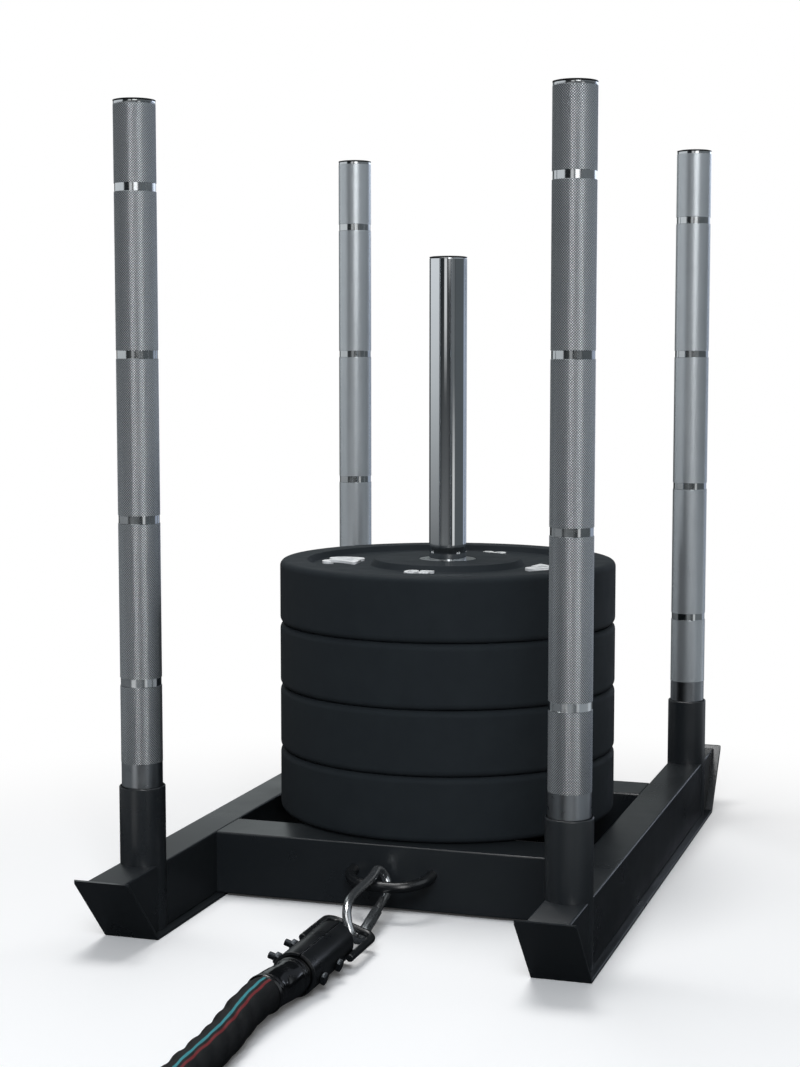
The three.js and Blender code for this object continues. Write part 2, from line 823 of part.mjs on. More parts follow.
const clamp = new THREE.Group();
clamp.position.set(clampX, -clampFront, clampZ);
clamp.rotation.y = clampRoll;
sled.add(clamp);
piece('clamp_half_left', clampHalf(-1), blackSteelFinish, clamp);
piece('clamp_half_right', clampHalf(1), blackSteelFinish, clamp);
piece('clamp_bow', clampBow(), blackSteelFinish, clamp);
boltPlaces.forEach((y, i) => {
  piece(`clamp_bolt_${i + 1}`, clampBolt(), blackSteelFinish, clamp).position.y = y;
  piece(`clamp_nut_${i + 1}`, clampNut(), blackSteelFinish, clamp).position.y = y;
});
const ropeRadius = ropeDiameter / 2;
piece('rope_end', boltedRound(ropeRadius - clearance, 0), ropeFinish, sled);
piece('rope_sleeve', boltedRound(ropeRadius + shrinkWall, ropeRadius), shrinkFinish, sled);

const freeRope = towRope();
piece('tow_rope', freeRope.geometry, ropeFinish, sled);
const line = coilLine();
piece('rope_coil', ringTube(line, ropeDiameter, coilSides), ropeFinish, sled);
const tip = line[line.length - 1];
piece('rope_end_cap', ropeEndCap(), shrinkFinish, sled).position.copy(tip);

const coilLength = line.slice(1).reduce((sum, point, i) => sum + point.distanceTo(line[i]), 0);
console.log(`free rope ${freeRope.length.toFixed(0)} mm, coiled rope ${coilLength.toFixed(0)} mm`);
console.log(`least gap between the coil's turns ${leastSelfGap(line, ropeDiameter).toFixed(2)} mm`);

export default sled;
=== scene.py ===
import bpy
import numpy as np
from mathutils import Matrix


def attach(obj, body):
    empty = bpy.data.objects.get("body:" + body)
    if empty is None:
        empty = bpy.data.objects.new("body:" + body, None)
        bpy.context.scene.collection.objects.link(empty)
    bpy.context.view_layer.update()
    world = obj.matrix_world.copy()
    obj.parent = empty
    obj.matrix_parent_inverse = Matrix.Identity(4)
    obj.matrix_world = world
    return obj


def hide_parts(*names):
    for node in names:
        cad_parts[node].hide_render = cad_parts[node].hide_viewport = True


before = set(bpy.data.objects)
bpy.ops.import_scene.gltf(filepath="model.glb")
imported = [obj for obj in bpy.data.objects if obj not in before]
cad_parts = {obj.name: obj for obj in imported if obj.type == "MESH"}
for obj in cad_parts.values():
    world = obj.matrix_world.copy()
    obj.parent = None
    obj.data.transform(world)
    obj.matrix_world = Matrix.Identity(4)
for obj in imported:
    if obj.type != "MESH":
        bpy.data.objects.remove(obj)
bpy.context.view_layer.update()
print("frame loaded")

mm = 0.001


# ---- small helpers for meshes; lengths are in millimetres until makeMesh turns them into metres

def unit(vectors):
    return vectors / np.linalg.norm(vectors, axis=-1, keepdims=True)


# faces of a grid of rows x columns, wound so that columns turn left round the way the rows run
def gridFaces(rows, columns, closedRows=False):
    firstRows = np.arange(rows if closedRows else rows - 1)
    row, column = np.meshgrid(firstRows, np.arange(columns), indexing="ij")
    nextRow, nextColumn = (row + 1) % rows, (column + 1) % columns
    corners = [row * columns + column, row * columns + nextColumn,
               nextRow * columns + nextColumn, nextRow * columns + column]
    return np.stack(corners, -1).reshape(-1, 4)


# closed skin over rings (rows x columns x 3): quads between rings, and each end closed by a fan to its
# middle
def skin(rings, closedRows=False):
    rows, columns = rings.shape[:2]
    points = rings.reshape(-1, 3)
    quads = gridFaces(rows, columns, closedRows)
    if closedRows:
        return points, [quads]
    around = np.arange(columns)
    following = (around + 1) % columns
    last = (rows - 1) * columns
    start = np.stack([np.full(columns, rows * columns), following, around], -1)
    end = np.stack([np.full(columns, rows * columns + 1), last + around, last + following], -1)
    middles = np.stack([rings[0].mean(0), rings[-1].mean(0)])
    return np.concatenate([points, middles]), [quads, start, end]


# six times the signed volume of a closed skin: the sum of corner triple products over its triangles
def signedVolume(points, faceSets):
    total = 0.0
    for faces in faceSets:
        for k in range(1, faces.shape[1] - 1):
            a, b, c = points[faces[:, 0]], points[faces[:, k]], points[faces[:, k + 1]]
            total += np.einsum("ij,ij->", a, np.cross(b, c))
    return total


# mesh from points in millimetres and sets of faces, wound so that they face outwards
def makeMesh(name, points, faceSets, sharpAngle=35.0):
    if signedVolume(points, faceSets) < 0:
        faceSets = [faces[:, ::-1] for faces in faceSets]
    counts = np.concatenate([np.full(len(faces), faces.shape[1]) for faces in faceSets])
    loops = np.concatenate([faces.ravel() for faces in faceSets])
    mesh = bpy.data.meshes.new(name)
    mesh.vertices.add(len(points))
    mesh.vertices.foreach_set("co", (points * mm).astype(np.float32).ravel())
    mesh.loops.add(len(loops))
    mesh.loops.foreach_set("vertex_index", loops.astype(np.int32))
    mesh.polygons.add(len(counts))
    mesh.polygons.foreach_set("loop_start", (np.cumsum(counts) - counts).astype(np.int32))
    mesh.update(calc_edges=True)
    mesh.polygons.foreach_set("use_smooth", np.ones(len(counts), dtype=bool))
    mesh.set_sharp_from_angle(angle=np.radians(sharpAngle))
    return mesh


def addObject(name, data):
    added = bpy.data.objects.new(name, data)
    bpy.context.scene.collection.objects.link(added)
    return added


def makePiece(name, mesh, materials, body, nodes=()):
    piece = addObject(name, mesh)
    for material in materials:
        mesh.materials.append(material)
    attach(piece, body)
    if nodes:
        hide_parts(*nodes)
    return piece


# piece of one material straight from its skin
def addPiece(name, shape, material, body, nodes=()):
    return makePiece(name, makeMesh(name, *shape), [material], body, nodes)


# several skins joined in one mesh
def together(*skins):
    points, faceSets, count = [], [], 0
    for somePoints, someFaces in skins:
        points.append(somePoints)
        faceSets += [faces + count for faces in someFaces]
        count += len(somePoints)
    return np.concatenate(points), faceSets


# polygon with its corners rounded: an arc of the given radius at each, and a point close beside it on both
# straight sides, so that the shading of the flats stays flat
def rounded(corners, radii, steps=4, support=0.6):
    corners = np.asarray(corners, float)
    out = []
    for i, corner in enumerate(corners):
        if not radii[i]:
            out.append(corner[None])
            continue
        back = unit(corners[i - 1] - corner)
        ahead = unit(corners[(i + 1) % len(corners)] - corner)
        half = np.arccos(np.clip(back @ ahead, -1, 1)) / 2
        reach = radii[i] / np.tan(half)
        centre = corner + unit(back + ahead) * radii[i] / np.sin(half)
        a, b = corner + back * reach - centre, corner + ahead * reach - centre
        sweep = np.pi - 2 * half
        share = np.linspace(0, 1, steps + 1)[:, None]
        arc = centre + (a * np.sin((1 - share) * sweep) + b * np.sin(share * sweep)) / np.sin(sweep)
        out += [(corner + back * (reach + support))[None], arc, (corner + ahead * (reach + support))[None]]
    return np.concatenate(out)


# points along straight runs with a round bend at each inner corner
def bentPath(corners, bend, step):
    corners = np.asarray(corners, float)
    out = [corners[:1]]
    for before, corner, after in zip(corners, corners[1:], corners[2:]):
        back, ahead = unit(before - corner), unit(after - corner)
        half = np.arccos(np.clip(back @ ahead, -1, 1)) / 2
        centre = corner + unit(back + ahead) * bend / np.sin(half)
        a, b = corner + back * bend / np.tan(half) - centre, corner + ahead * bend / np.tan(half) - centre
        sweep = np.pi - 2 * half
        share = np.linspace(0, 1, max(6, int(bend * sweep / step)) + 1)[:, None]
        out.append(centre + (a * np.sin((1 - share) * sweep) + b * np.sin(share * sweep)) / np.sin(sweep))
    out.append(corners[-1:])
    return spread(np.concatenate(out), step)


# the same line with more points on its long straight runs
def spread(line, step):
    out = []
    for a, b in zip(line, line[1:]):
        count = max(1, int(np.linalg.norm(b - a) / step))
        out.append(a + (b - a) * (np.arange(count) / count)[:, None])
    out.append(line[-1:])
    return np.concatenate(out)


# centripetal Catmull-Rom curve through the points: a cubic between each pair, with tangents from knots
# spaced by the square root of the distance
def smoothPath(points, perSpan):
    p = np.asarray(points, float)
    p = np.concatenate([2 * p[:1] - p[1:2], p, 2 * p[-1:] - p[-2:-1]])
    knots = np.sqrt(np.linalg.norm(np.diff(p, axis=0), axis=1))[:, None]
    p0, p1, p2, p3 = p[:-3], p[1:-2], p[2:-1], p[3:]
    d0, d1, d2 = knots[:-2], knots[1:-1], knots[2:]
    t1 = ((p1 - p0) / d0 - (p2 - p0) / (d0 + d1) + (p2 - p1) / d1) * d1
    t2 = ((p2 - p1) / d1 - (p3 - p1) / (d1 + d2) + (p3 - p2) / d2) * d1
    u = (np.arange(perSpan) / perSpan)[None, :, None]
    p1, p2, t1, t2 = (a[:, None, :] for a in (p1, p2, t1, t2))
    curve = (2 * p1 - 2 * p2 + t1 + t2) * u ** 3 + (3 * p2 - 3 * p1 - 2 * t1 - t2) * u ** 2 + t1 * u + p1
    return np.concatenate([curve.reshape(-1, 3), p[-2:-1]])


def arcLength(line):
    return np.concatenate([[0], np.cumsum(np.linalg.norm(np.diff(line, axis=0), axis=1))])


# points at an even spacing along a line
def evenly(line, step):
    along = arcLength(line)
    at = np.linspace(0, along[-1], int(round(along[-1] / step)) + 1)
    return np.stack([np.interp(at, along, line[:, k]) for k in range(3)], -1)


# section (columns x 2, or rows x columns x 2) carried along a path: its first axis lies to the right of the
# path seen with the up vector, its second above the path
def carried(path, section, up):
    ahead = unit(np.gradient(path, axis=0))
    side = unit(np.cross(ahead, np.asarray(up, float)))
    above = np.cross(side, ahead)
    section = np.broadcast_to(section, (len(path), *section.shape[-2:]))
    return path[:, None] + section[..., :1] * side[:, None] + section[..., 1:] * above[:, None]


def polar(size, turn):
    return np.stack([size * np.cos(turn), size * np.sin(turn)], -1)


def fullTurn(count):
    return 2 * np.pi * np.arange(count) / count


# round rod along a path with its two cut ends rounded off
def rod(path, radius, up, columns=24, endRound=1.0):
    along = arcLength(path)
    nearest = np.minimum(along, along[-1] - along)
    ends = [share * endRound for share in (0.0, 0.1, 0.35, 0.65, 1.0)]
    extra = np.concatenate([ends, [along[-1] - e for e in ends[::-1]]])
    at = np.unique(np.concatenate([along[nearest > endRound * 1.2], extra]))
    path = np.stack([np.interp(at, along, path[:, k]) for k in range(3)], -1)
    inset = np.clip(1 - np.minimum(at, along[-1] - at) / endRound, 0, 1)
    size = radius - endRound * (1 - np.sqrt(1 - inset ** 2 * 0.98))
    return skin(carried(path, polar(size[:, None], fullTurn(columns)), up))


# rings of points about an upright axis
def lathe(size, turn, height):
    return np.stack(np.broadcast_arrays(size * np.cos(turn), size * np.sin(turn), height), -1)


# solid of revolution about an upright axis: an open profile of (radius, height) is closed on the axis,
# a closed one makes a ring
def revolved(profile, columns, centre, closed=False):
    profile = np.asarray(profile, float)
    rings = lathe(profile[:, :1], fullTurn(columns), profile[:, 1:]) + centre
    return skin(rings.swapaxes(0, 1), closedRows=True) if closed else skin(rings)


# smooth waves that never repeat in view: a few sines at odd angles
def ripple(a, b, seed):
    return (np.sin(a + 1.7 * b + seed) + np.sin(1.9 * a - 1.1 * b + 2.3 * seed)
            + np.sin(-1.3 * a + 2.6 * b + 0.7 * seed)) / 3


# ---- materials

def srgb(code):
    channels = np.array([int(code[i:i + 2], 16) for i in (1, 3, 5)]) / 255
    linear = np.where(channels <= 0.04045, channels / 12.92, ((channels + 0.055) / 1.055) ** 2.4)
    return (*linear.tolist(), 1.0)


# adds one node: settings are its own properties, inputs are values or sockets to link
def addNode(tree, kind, settings=None, inputs=None):
    node = tree.nodes.new("ShaderNode" + kind)
    for name, value in (settings or {}).items():
        setattr(node, name, value)
    for name, value in (inputs or {}).items():
        if isinstance(value, bpy.types.NodeSocket):
            tree.links.new(value, node.inputs[name])
        else:
            node.inputs[name].default_value = value
    return node


def maths(tree, operation, a, b=0.0):
    return addNode(tree, "Math", {"operation": operation}, {0: a, 1: b}).outputs[0]


def vectorMaths(tree, operation, a, b=(0, 0, 0)):
    return addNode(tree, "VectorMath", {"operation": operation}, {0: a, 1: b}).outputs


# clouds from 0 to 1, their scale in patches to the metre
def noise(tree, place, scale, detail):
    return addNode(tree, "TexNoise", None, {
        "Vector": place, "Scale": scale, "Detail": detail}).outputs["Fac"]


# mix of two colours or colour sockets
def blend(tree, factor, a, b):
    return addNode(tree, "Mix", {"data_type": "RGBA"}, {0: factor, 6: a, 7: b}).outputs[2]


# a range of a socket's values mapped to another range
def mapped(tree, value, start, end, low=0.0, high=1.0, kind="LINEAR"):
    return addNode(tree, "MapRange", {"interpolation_type": kind}, {
        "Value": value, "From Min": start, "From Max": end, "To Min": low, "To Max": high}).outputs[0]


# 0 to 1 between two values of a socket, eased at both ends
def eased(tree, value, start, end):
    return mapped(tree, value, start, end, kind="SMOOTHSTEP")


# empty material, with its tree and the place on the object that its patterns go by
def newMaterial(name):
    material = bpy.data.materials.new(name)
    material.use_nodes = True
    material.node_tree.nodes.clear()
    tree = material.node_tree
    place = addNode(tree, "TexCoord").outputs["Object"]
    return material, tree, place


# ends a material in its surface
def surface(tree, inputs):
    shader = addNode(tree, "BsdfPrincipled", None, inputs)
    addNode(tree, "OutputMaterial", None, {"Surface": shader.outputs[0]})


# finish that most of these surfaces share: two close colours in soft clouds, roughness that drifts with
# them, and a fine grain raised by a bump; sizes in millimetres
def coated(name, dark, light, roughness, cloud, grain, grainDepth, metallic=0.0, gloss=0.5, spread=0.06):
    material, tree, place = newMaterial(name)
    clouds = noise(tree, place, 1000 / cloud, 4.0)
    colour = blend(tree, clouds, srgb(dark), srgb(light))
    rough = mapped(tree, clouds, 0.3, 0.7, roughness - spread, roughness + spread)
    bump = addNode(tree, "Bump", None, {
        "Height": noise(tree, place, 1000 / grain, 2.0), "Distance": grainDepth * mm, "Strength": 1.0})
    surface(tree, {"Base Color": colour, "Roughness": rough, "Normal": bump.outputs[0],
                   "Metallic": metallic, "Specular IOR Level": gloss})
    return material


# powder coat on steel, sprayed and baked: satin, with a faint orange peel of about a millimetre
powderCoat = coated("satinPowderCoat", "#1e2124", "#23272a", 0.31, 90, 1.6, 0.006, gloss=0.65)
# the same coat on the clamp and its bow, deeper black
clampCoat = coated("satinClampPaint", "#121416", "#181a1c", 0.3, 40, 1.2, 0.01, gloss=0.7)
# moulded rubber with crumb in it: dull, with a slight skin sheen
rubber = coated("mouldedRubber", "#22262a", "#2a2f32", 0.62, 30, 0.9, 0.03, gloss=0.09)
# injection-moulded ABS cap: glossy
capPlastic = coated("glossyAbs", "#08090a", "#0d0e10", 0.14, 20, 6.0, 0.004, spread=0.03)
# black oxide on steel fasteners: dark metal with an oily grey sheen
blackOxide = coated("blackOxideSteel", "#2a2d30", "#3b3f43", 0.36, 6, 0.5, 0.006, metallic=0.85)
# screen-printed white on rubber
numberPaint = coated("whitePrint", "#dfe1e2", "#f1f2f2", 0.45, 8, 0.8, 0.01)
# turned steel with the tool's fine rings worn dull
insertSteel = coated("turnedSteel", "#8b8e90", "#a6a9ab", 0.3, 10, 0.8, 0.004, metallic=1.0)
# mirror chrome on the post
postChrome = coated("mirrorChrome", "#dadee1", "#e6e9eb", 0.06, 60, 30, 0.002, metallic=1.0, spread=0.02)
# bright zinc, tumbled and polished, with small waves
linkSteel = coated("polishedZinc", "#c2c5c7", "#dadddf", 0.2, 9, 7.0, 0.006, metallic=0.95, spread=0.04)
# darker steel of the link's sleeve nut
nutSteel = coated("darkZincSteel", "#6a6e71", "#85898c", 0.3, 7, 0.9, 0.006, metallic=0.8)
# the bands and collar cut smooth on the lathe
turnedBand = coated("latheTurnedBand", "#c9cdcf", "#d8dbdd", 0.13, 12, 0.5, 0.0003, metallic=1.0,
                    spread=0.02)
# the smooth foot of each pole, ground and dulled by its socket
collarSteel = coated("groundCollar", "#94989c", "#a3a7ab", 0.3, 12, 0.5, 0.0006, metallic=1.0, spread=0.03)
# heat-shrunk polyolefin: glossy, with soft wrinkles that follow what is under it
shrinkPlastic = coated("heatShrunkPolyolefin", "#08090a", "#0e0f11", 0.17, 18, 9.0, 0.04, gloss=0.8,
                       spread=0.05)


# knurled steel tube: the diamonds are in the mesh, whose attribute is 1 on their peaks, where the steel is
# rubbed bright, and 0 in the grooves, which get a darker colour as painted shade
def knurlMaterial(name, grooveShade, dark, light, metallic, smooth):
    material, tree, place = newMaterial(name)
    height = addNode(tree, "Attribute", {"attribute_name": "knurlHeight"}).outputs["Fac"]
    # the grooves' darker colour is painted shade, the peaks' lighter colour is rubbed wear
    rubbedOrShaded = mapped(tree, height, 0.08, 0.72)
    bright = blend(tree, noise(tree, place, 25.0, 3.0), srgb(dark), srgb(light))
    colour = blend(tree, rubbedOrShaded, srgb(grooveShade), bright)
    rough = mapped(tree, height, 0.0, 1.0, 0.42, smooth)
    surface(tree, {"Base Color": colour, "Roughness": rough, "Metallic": metallic})
    return material


# the front poles' knurl stands sharp, the rear poles' is worn nearly smooth
knurledSteel = knurlMaterial("knurledSteel", "#4b5054", "#dce1e5", "#e9edf0", 0.88, 0.22)
wornKnurl = knurlMaterial("wornKnurledSteel", "#a8aeb2", "#c3c9cd", "#d0d6da", 0.72, 0.22)


# woven polyester cover over twisted strands: cross-woven yarns a little coarser than real so that they
# show, and two tracer yarns along the top; the UV map runs in metres along and around
def ropeMaterial(rope):
    material, tree, place = newMaterial("wovenRopeCover")
    unrolled = addNode(tree, "UVMap", {"uv_map": "ropeCover"}).outputs[0]
    split = addNode(tree, "SeparateXYZ", None, {0: unrolled})
    along, around = split.outputs[0], split.outputs[1]
    clouds = noise(tree, place, 60.0, 4.0)
    colour = blend(tree, clouds, srgb(rope["coverDark"]), srgb(rope["coverLight"]))
    phase = maths(tree, "MULTIPLY", along, 2 * np.pi / (rope["bulge"] * mm))
    wave = maths(tree, "MULTIPLY", maths(tree, "SINE", phase), rope["tracerWave"] * mm)
    waved = maths(tree, "ADD", around, wave)
    for tracer in rope["tracers"]:
        centre = (tracer["angle"] + 90) / 360 * np.pi * rope["diameter"] * mm
        away = maths(tree, "ABSOLUTE", maths(tree, "SUBTRACT", waved, centre))
        mask = eased(tree, away, tracer["width"] * mm * 0.5, tracer["width"] * mm * 0.36)
        tint = blend(tree, clouds, srgb(tracer["dark"]), srgb(tracer["light"]))
        colour = blend(tree, mask, colour, tint)
    turn = 2 * np.pi / (rope["yarn"] * mm)
    right, left = (maths(tree, "SINE", maths(tree, "MULTIPLY", maths(tree, way, along, around), turn))
                   for way in ("ADD", "SUBTRACT"))
    weave = maths(tree, "MULTIPLY", right, left)
    bump = addNode(tree, "Bump", None, {
        "Height": weave, "Distance": rope["weaveDepth"] * mm, "Strength": 1.0})
    surface(tree, {"Base Color": colour, "Roughness": 0.6, "Normal": bump.outputs[0],
                   "Specular IOR Level": 0.3})
    return material


print("materials made")

# ---- camera, solved from the photograph

view = {"place": (0.74498, -2.50647, 0.69694), "yaw": 17.87, "down": 5.294, "focal": 1962.8,
        "longSide": 1067}
cameraData = bpy.data.cameras.new("camera")
cameraData.sensor_fit = "AUTO"
cameraData.sensor_width = 36.0
cameraData.lens = view["focal"] / view["longSide"] * cameraData.sensor_width
cameraData.clip_start, cameraData.clip_end = 0.01, 100.0
camera = addObject("camera", cameraData)
camera.location = view["place"]
camera.rotation_euler = (np.radians(90 - view["down"]), 0, np.radians(view["yaw"]))
bpy.context.scene.camera = camera

# ---- rope: the free part on the floor and its coil, as routed in the part's source

rope = {
    "diameter": 40, "bulge": 38, "strands": 3, "valley": 1.7, "unevenness": 0.25, "columns": 36,
    "step": 4.0, "fadeIn": 60.0, "coverDark": "#08090a", "coverLight": "#111315", "yarn": 2.4,
    "weaveDepth": 0.12, "tracerWave": 0.5,
    "tracers": [
        {"angle": 97, "width": 3.8, "dark": "#2b757e", "light": "#41929a"},
        {"angle": 115, "width": 3.4, "dark": "#571b1f", "light": "#7d2b2f"},
    ],
    "coilRadius": 318, "coilPitch": 41.5, "entry": (144.4, -1104.4), "entryAngle": np.radians(50),
    "turnsIn": 3.5, "turnsOut": 2.5,
    "floorZ": 20.3, "capLength": 70, "shrinkWall": 1.1, "sleeveStep": 0.8, "sleeveSkip": 5,
    "sleeveColumns": 64, "sleeveStrands": 0.35, "sleeveCreases": 0.28, "sleeveLip": 0.8,
    "sleeveLipRun": 1.6,
    # each ridge: its distance from the sleeve's end, height and width
    "sleeveRidges": [(2.8, 0.9, 1.6), (8.5, 0.6, 1.8), (58, 0.8, 1.6), (66, 0.5, 1.5)],
}
sleeveRoute = [(2, -440, 27), (2, -500, 27), (2, -560, 27), (2, -580, 27), (0.6, -604, 27),
               (-3.8, -628, 26.9), (-4.6, -648, 26.8)]
ropeRoute = [(-4.6, -648.3, 26.8), (-5.4, -668.3, 26.7), (-5.6, -706, 24.2), (-3.7, -736, 21.6),
             (-1.3, -765, 20.5), (0.4, -800, 20.3), (1.6, -838, 20.3), (2.3, -868.6, 20.3),
             (6.1, -912, 20.3), (17.4, -954.1, 20.3), (35.8, -993.6, 20.3), (60.8, -1029.3, 20.3),
             (91.6, -1060.1, 20.3), (113.53, -1078.5, 20.3)]


# the coil's line: in on the floor, up a layer in the half turn where it reverses, and out again on top
def coilLine():
    total = rope["turnsIn"] + rope["turnsOut"] + rope["entryAngle"] / (2 * np.pi)
    turns = np.linspace(0, total, int(total * 240) + 1)
    centre = rope["entry"] - polar(rope["coilRadius"], rope["entryAngle"])
    inward = np.where(turns < rope["turnsIn"], turns, 2 * rope["turnsIn"] - turns)
    radius = rope["coilRadius"] - rope["coilPitch"] * inward
    share = np.clip(2 * (turns - rope["turnsIn"]) + 0.5, 0, 1)
    height = rope["floorZ"] + rope["coilPitch"] * (1 - np.cos(np.pi * share)) / 2
    angle = rope["entryAngle"] - 2 * np.pi * turns
    line = np.column_stack([centre + polar(radius, angle), height])
    return np.concatenate([line, line[-1:] - (0, rope["diameter"], 0)])


# rope skin: a circle whose radius dips in the valleys between the twisted strands under the cover
def ropeSkin(line, fadeIn=0.0):
    columns = rope["columns"]
    along = arcLength(line)[:, None]
    turn = fullTurn(columns)[None] - np.pi / 2
    phase = rope["strands"] * turn - 2 * np.pi * along / rope["bulge"]
    valley = rope["valley"] * (0.5 - 0.5 * np.cos(phase)) ** 1.4
    valley = valley + rope["unevenness"] * ripple(along / 9, turn * 4, 1.0)
    if fadeIn:
        valley = valley * np.clip(along / fadeIn, 0.25, 1)
    radius = rope["diameter"] / 2 - np.maximum(valley, 0)
    return skin(carried(line, polar(radius, turn), (0, 0, 1)))


# UV map in metres: along the rope, and around it from underneath
def mapRope(mesh, line):
    columns = rope["columns"]
    along = arcLength(line) * mm
    width = np.pi * rope["diameter"] * mm
    rows = len(line)
    corner = np.empty(len(mesh.loops), dtype=np.int32)
    mesh.loops.foreach_get("vertex_index", corner)
    row = np.minimum(corner // columns, rows - 1)
    column = np.where(corner < rows * columns, corner % columns, 0)
    starts = np.arange(0, (rows - 1) * columns * 4).reshape(-1, 4)
    wraps = column[starts].max(axis=1) - column[starts].min(axis=1) > columns // 2
    wrapped = starts[wraps]
    column = column.astype(float)
    column[wrapped] = np.where(column[wrapped] < 1, columns, column[wrapped])
    uv = np.stack([along[row], column / columns * width], -1).astype(np.float32)
    mesh.uv_layers.new(name="ropeCover").uv.foreach_set("vector", uv.ravel())


ropeCover = ropeMaterial(rope)
wholeLine = np.concatenate([smoothPath(ropeRoute, 60), coilLine()])
ropeLine = evenly(wholeLine, rope["step"])
ropeMesh = makeMesh("towRope", *ropeSkin(ropeLine, rope["fadeIn"]))
mapRope(ropeMesh, ropeLine)
towRope = makePiece("towRope", ropeMesh, [ropeCover], "tow_line", ["tow_rope", "rope_coil"])

# rope's end inside the clamp, cut flat
endLine = evenly(smoothPath(sleeveRoute, 20), rope["step"])[:-2]
endMesh = makeMesh("ropeEnd", *ropeSkin(endLine))
mapRope(endMesh, endLine)
makePiece("ropeEnd", endMesh, [ropeCover], "tow_line", ["rope_end"])


# sleeve shrunk over the rope's end: it follows the strands faintly and gathers in soft creases
def sleeveSkin(line, radius):
    along = arcLength(line)[:, None]
    turn = fullTurn(rope["sleeveColumns"])[None]
    left = along[-1] - along
    phase = rope["strands"] * turn - 2 * np.pi * along / rope["bulge"]
    strands = rope["sleeveStrands"] * (0.5 - 0.5 * np.cos(phase))
    creases = rope["sleeveCreases"] * np.abs(ripple(along / 5.5, turn * 2.2, 4.0)) ** 1.5
    lip = rope["sleeveLip"] * np.clip(1 - left / rope["sleeveLipRun"], 0, 1) ** 2
    ridges = sum(height * np.exp(-((left - place + ripple(turn, 1.0, place)) / width) ** 2)
                 for place, height, width in rope["sleeveRidges"])
    size = radius - strands - creases - lip + ridges
    return skin(carried(line, polar(size, turn), (0, 0, 1)))


sleeveLine = evenly(smoothPath(sleeveRoute, 40), rope["sleeveStep"])
sleeveRadius = rope["diameter"] / 2 + rope["shrinkWall"]
addPiece("shrinkSleeve", sleeveSkin(sleeveLine[rope["sleeveSkip"]:], sleeveRadius), shrinkPlastic,
         "tow_line", ["rope_sleeve"])

# shrunk cap on the far end, on top of the coil
capRun = np.linspace(0.3, rope["capLength"], 48)
capLine = wholeLine[-1] - np.stack([0 * capRun, capRun, 0 * capRun], -1)
capShare = np.clip((arcLength(capLine) / rope["capLength"] - 0.7) / 0.3, 0, 1)[:, None]
capRadius = sleeveRadius * (1 - 0.9 * (1 - np.sqrt(1 - (capShare * 0.97) ** 2)))
capSection = polar(capRadius, fullTurn(rope["sleeveColumns"]))
ropeCap = addPiece("ropeEndCap", skin(carried(capLine, capSection, (0, 0, 1))), shrinkPlastic,
                   "tow_line", ["rope_end_cap"])

print("rope and coil made")

# ---- frame

sled = {
    "railX": 262.5, "poleY": 391, "railWidth": 50, "railHeight": 80, "base": 4.3, "corner": 2.2,
    "endRun": 0.8, "endInset": 0.6, "weldGap": 0.1, "crossDepth": 75, "crossFace": 227, "beamWidth": 60,
    "skidWidth": 70, "skidThickness": 4, "flat": 852.6, "lipHeight": 88, "lipAngle": np.radians(47),
    "skidBend": 1.0, "skidCorner": 6.5, "skidEdge": 0.9,
}
leftRight = (("left", -1), ("right", 1))
frontRear = (("front", -1), ("rear", 1))


# painted piece of the frame, in place of the solids named
def addPainted(name, shape, *nodes):
    addPiece(name, shape, powderCoat, "frame", nodes)


# box tube run along one axis between two places, its ends square unless a slope is given
def boxTube(width, height, length, base, slope=0.0, axis="y"):
    half = width / 2
    section = rounded([(-half, 0), (half, 0), (half, height), (-half, height)], [sled["corner"]] * 4)
    ends = length / 2 + slope * section[:, 1]
    run = np.array([-1, -1, 1, 1])[:, None] * ends
    run[1] += sled["endRun"]
    run[2] -= sled["endRun"]
    inset = sled["endInset"] * np.array([1, 0, 0, 1])[:, None]
    middle = np.array([0, height / 2])
    shrunk = section - unit(section - middle) * inset[..., None]
    x, z = shrunk[..., 0], shrunk[..., 1] + base
    return np.stack([x, run, z] if axis == "y" else [run, x, z], -1)


lipSlope = 1 / np.tan(sled["lipAngle"])
railHalf = sled["flat"] / 2 - sled["skidThickness"] / np.sin(sled["lipAngle"]) + sled["base"] * lipSlope
for side, sign in leftRight:
    rings = boxTube(sled["railWidth"], sled["railHeight"], 2 * railHalf, sled["base"], lipSlope)
    rings[..., 0] += sign * sled["railX"]
    addPainted(f"{side}Rail", skin(rings), f"{side}_rail", f"{side}_rail_nose", f"{side}_rail_tail")
for end, sign in frontRear:
    rings = boxTube(sled["crossDepth"], sled["railHeight"],
                    2 * sled["railX"] - sled["railWidth"] - sled["weldGap"], sled["base"], axis="x")
    rings[..., 1] += sign * (sled["crossFace"] - sled["crossDepth"] / 2)
    addPainted(f"{end}Crossmember", skin(rings), f"{end}_crossmember")
beamLength = 2 * (sled["crossFace"] - sled["crossDepth"]) - sled["weldGap"]
rings = boxTube(sled["beamWidth"], sled["railHeight"], beamLength, sled["base"])
addPainted("centreBeam", skin(rings), "centre_beam")


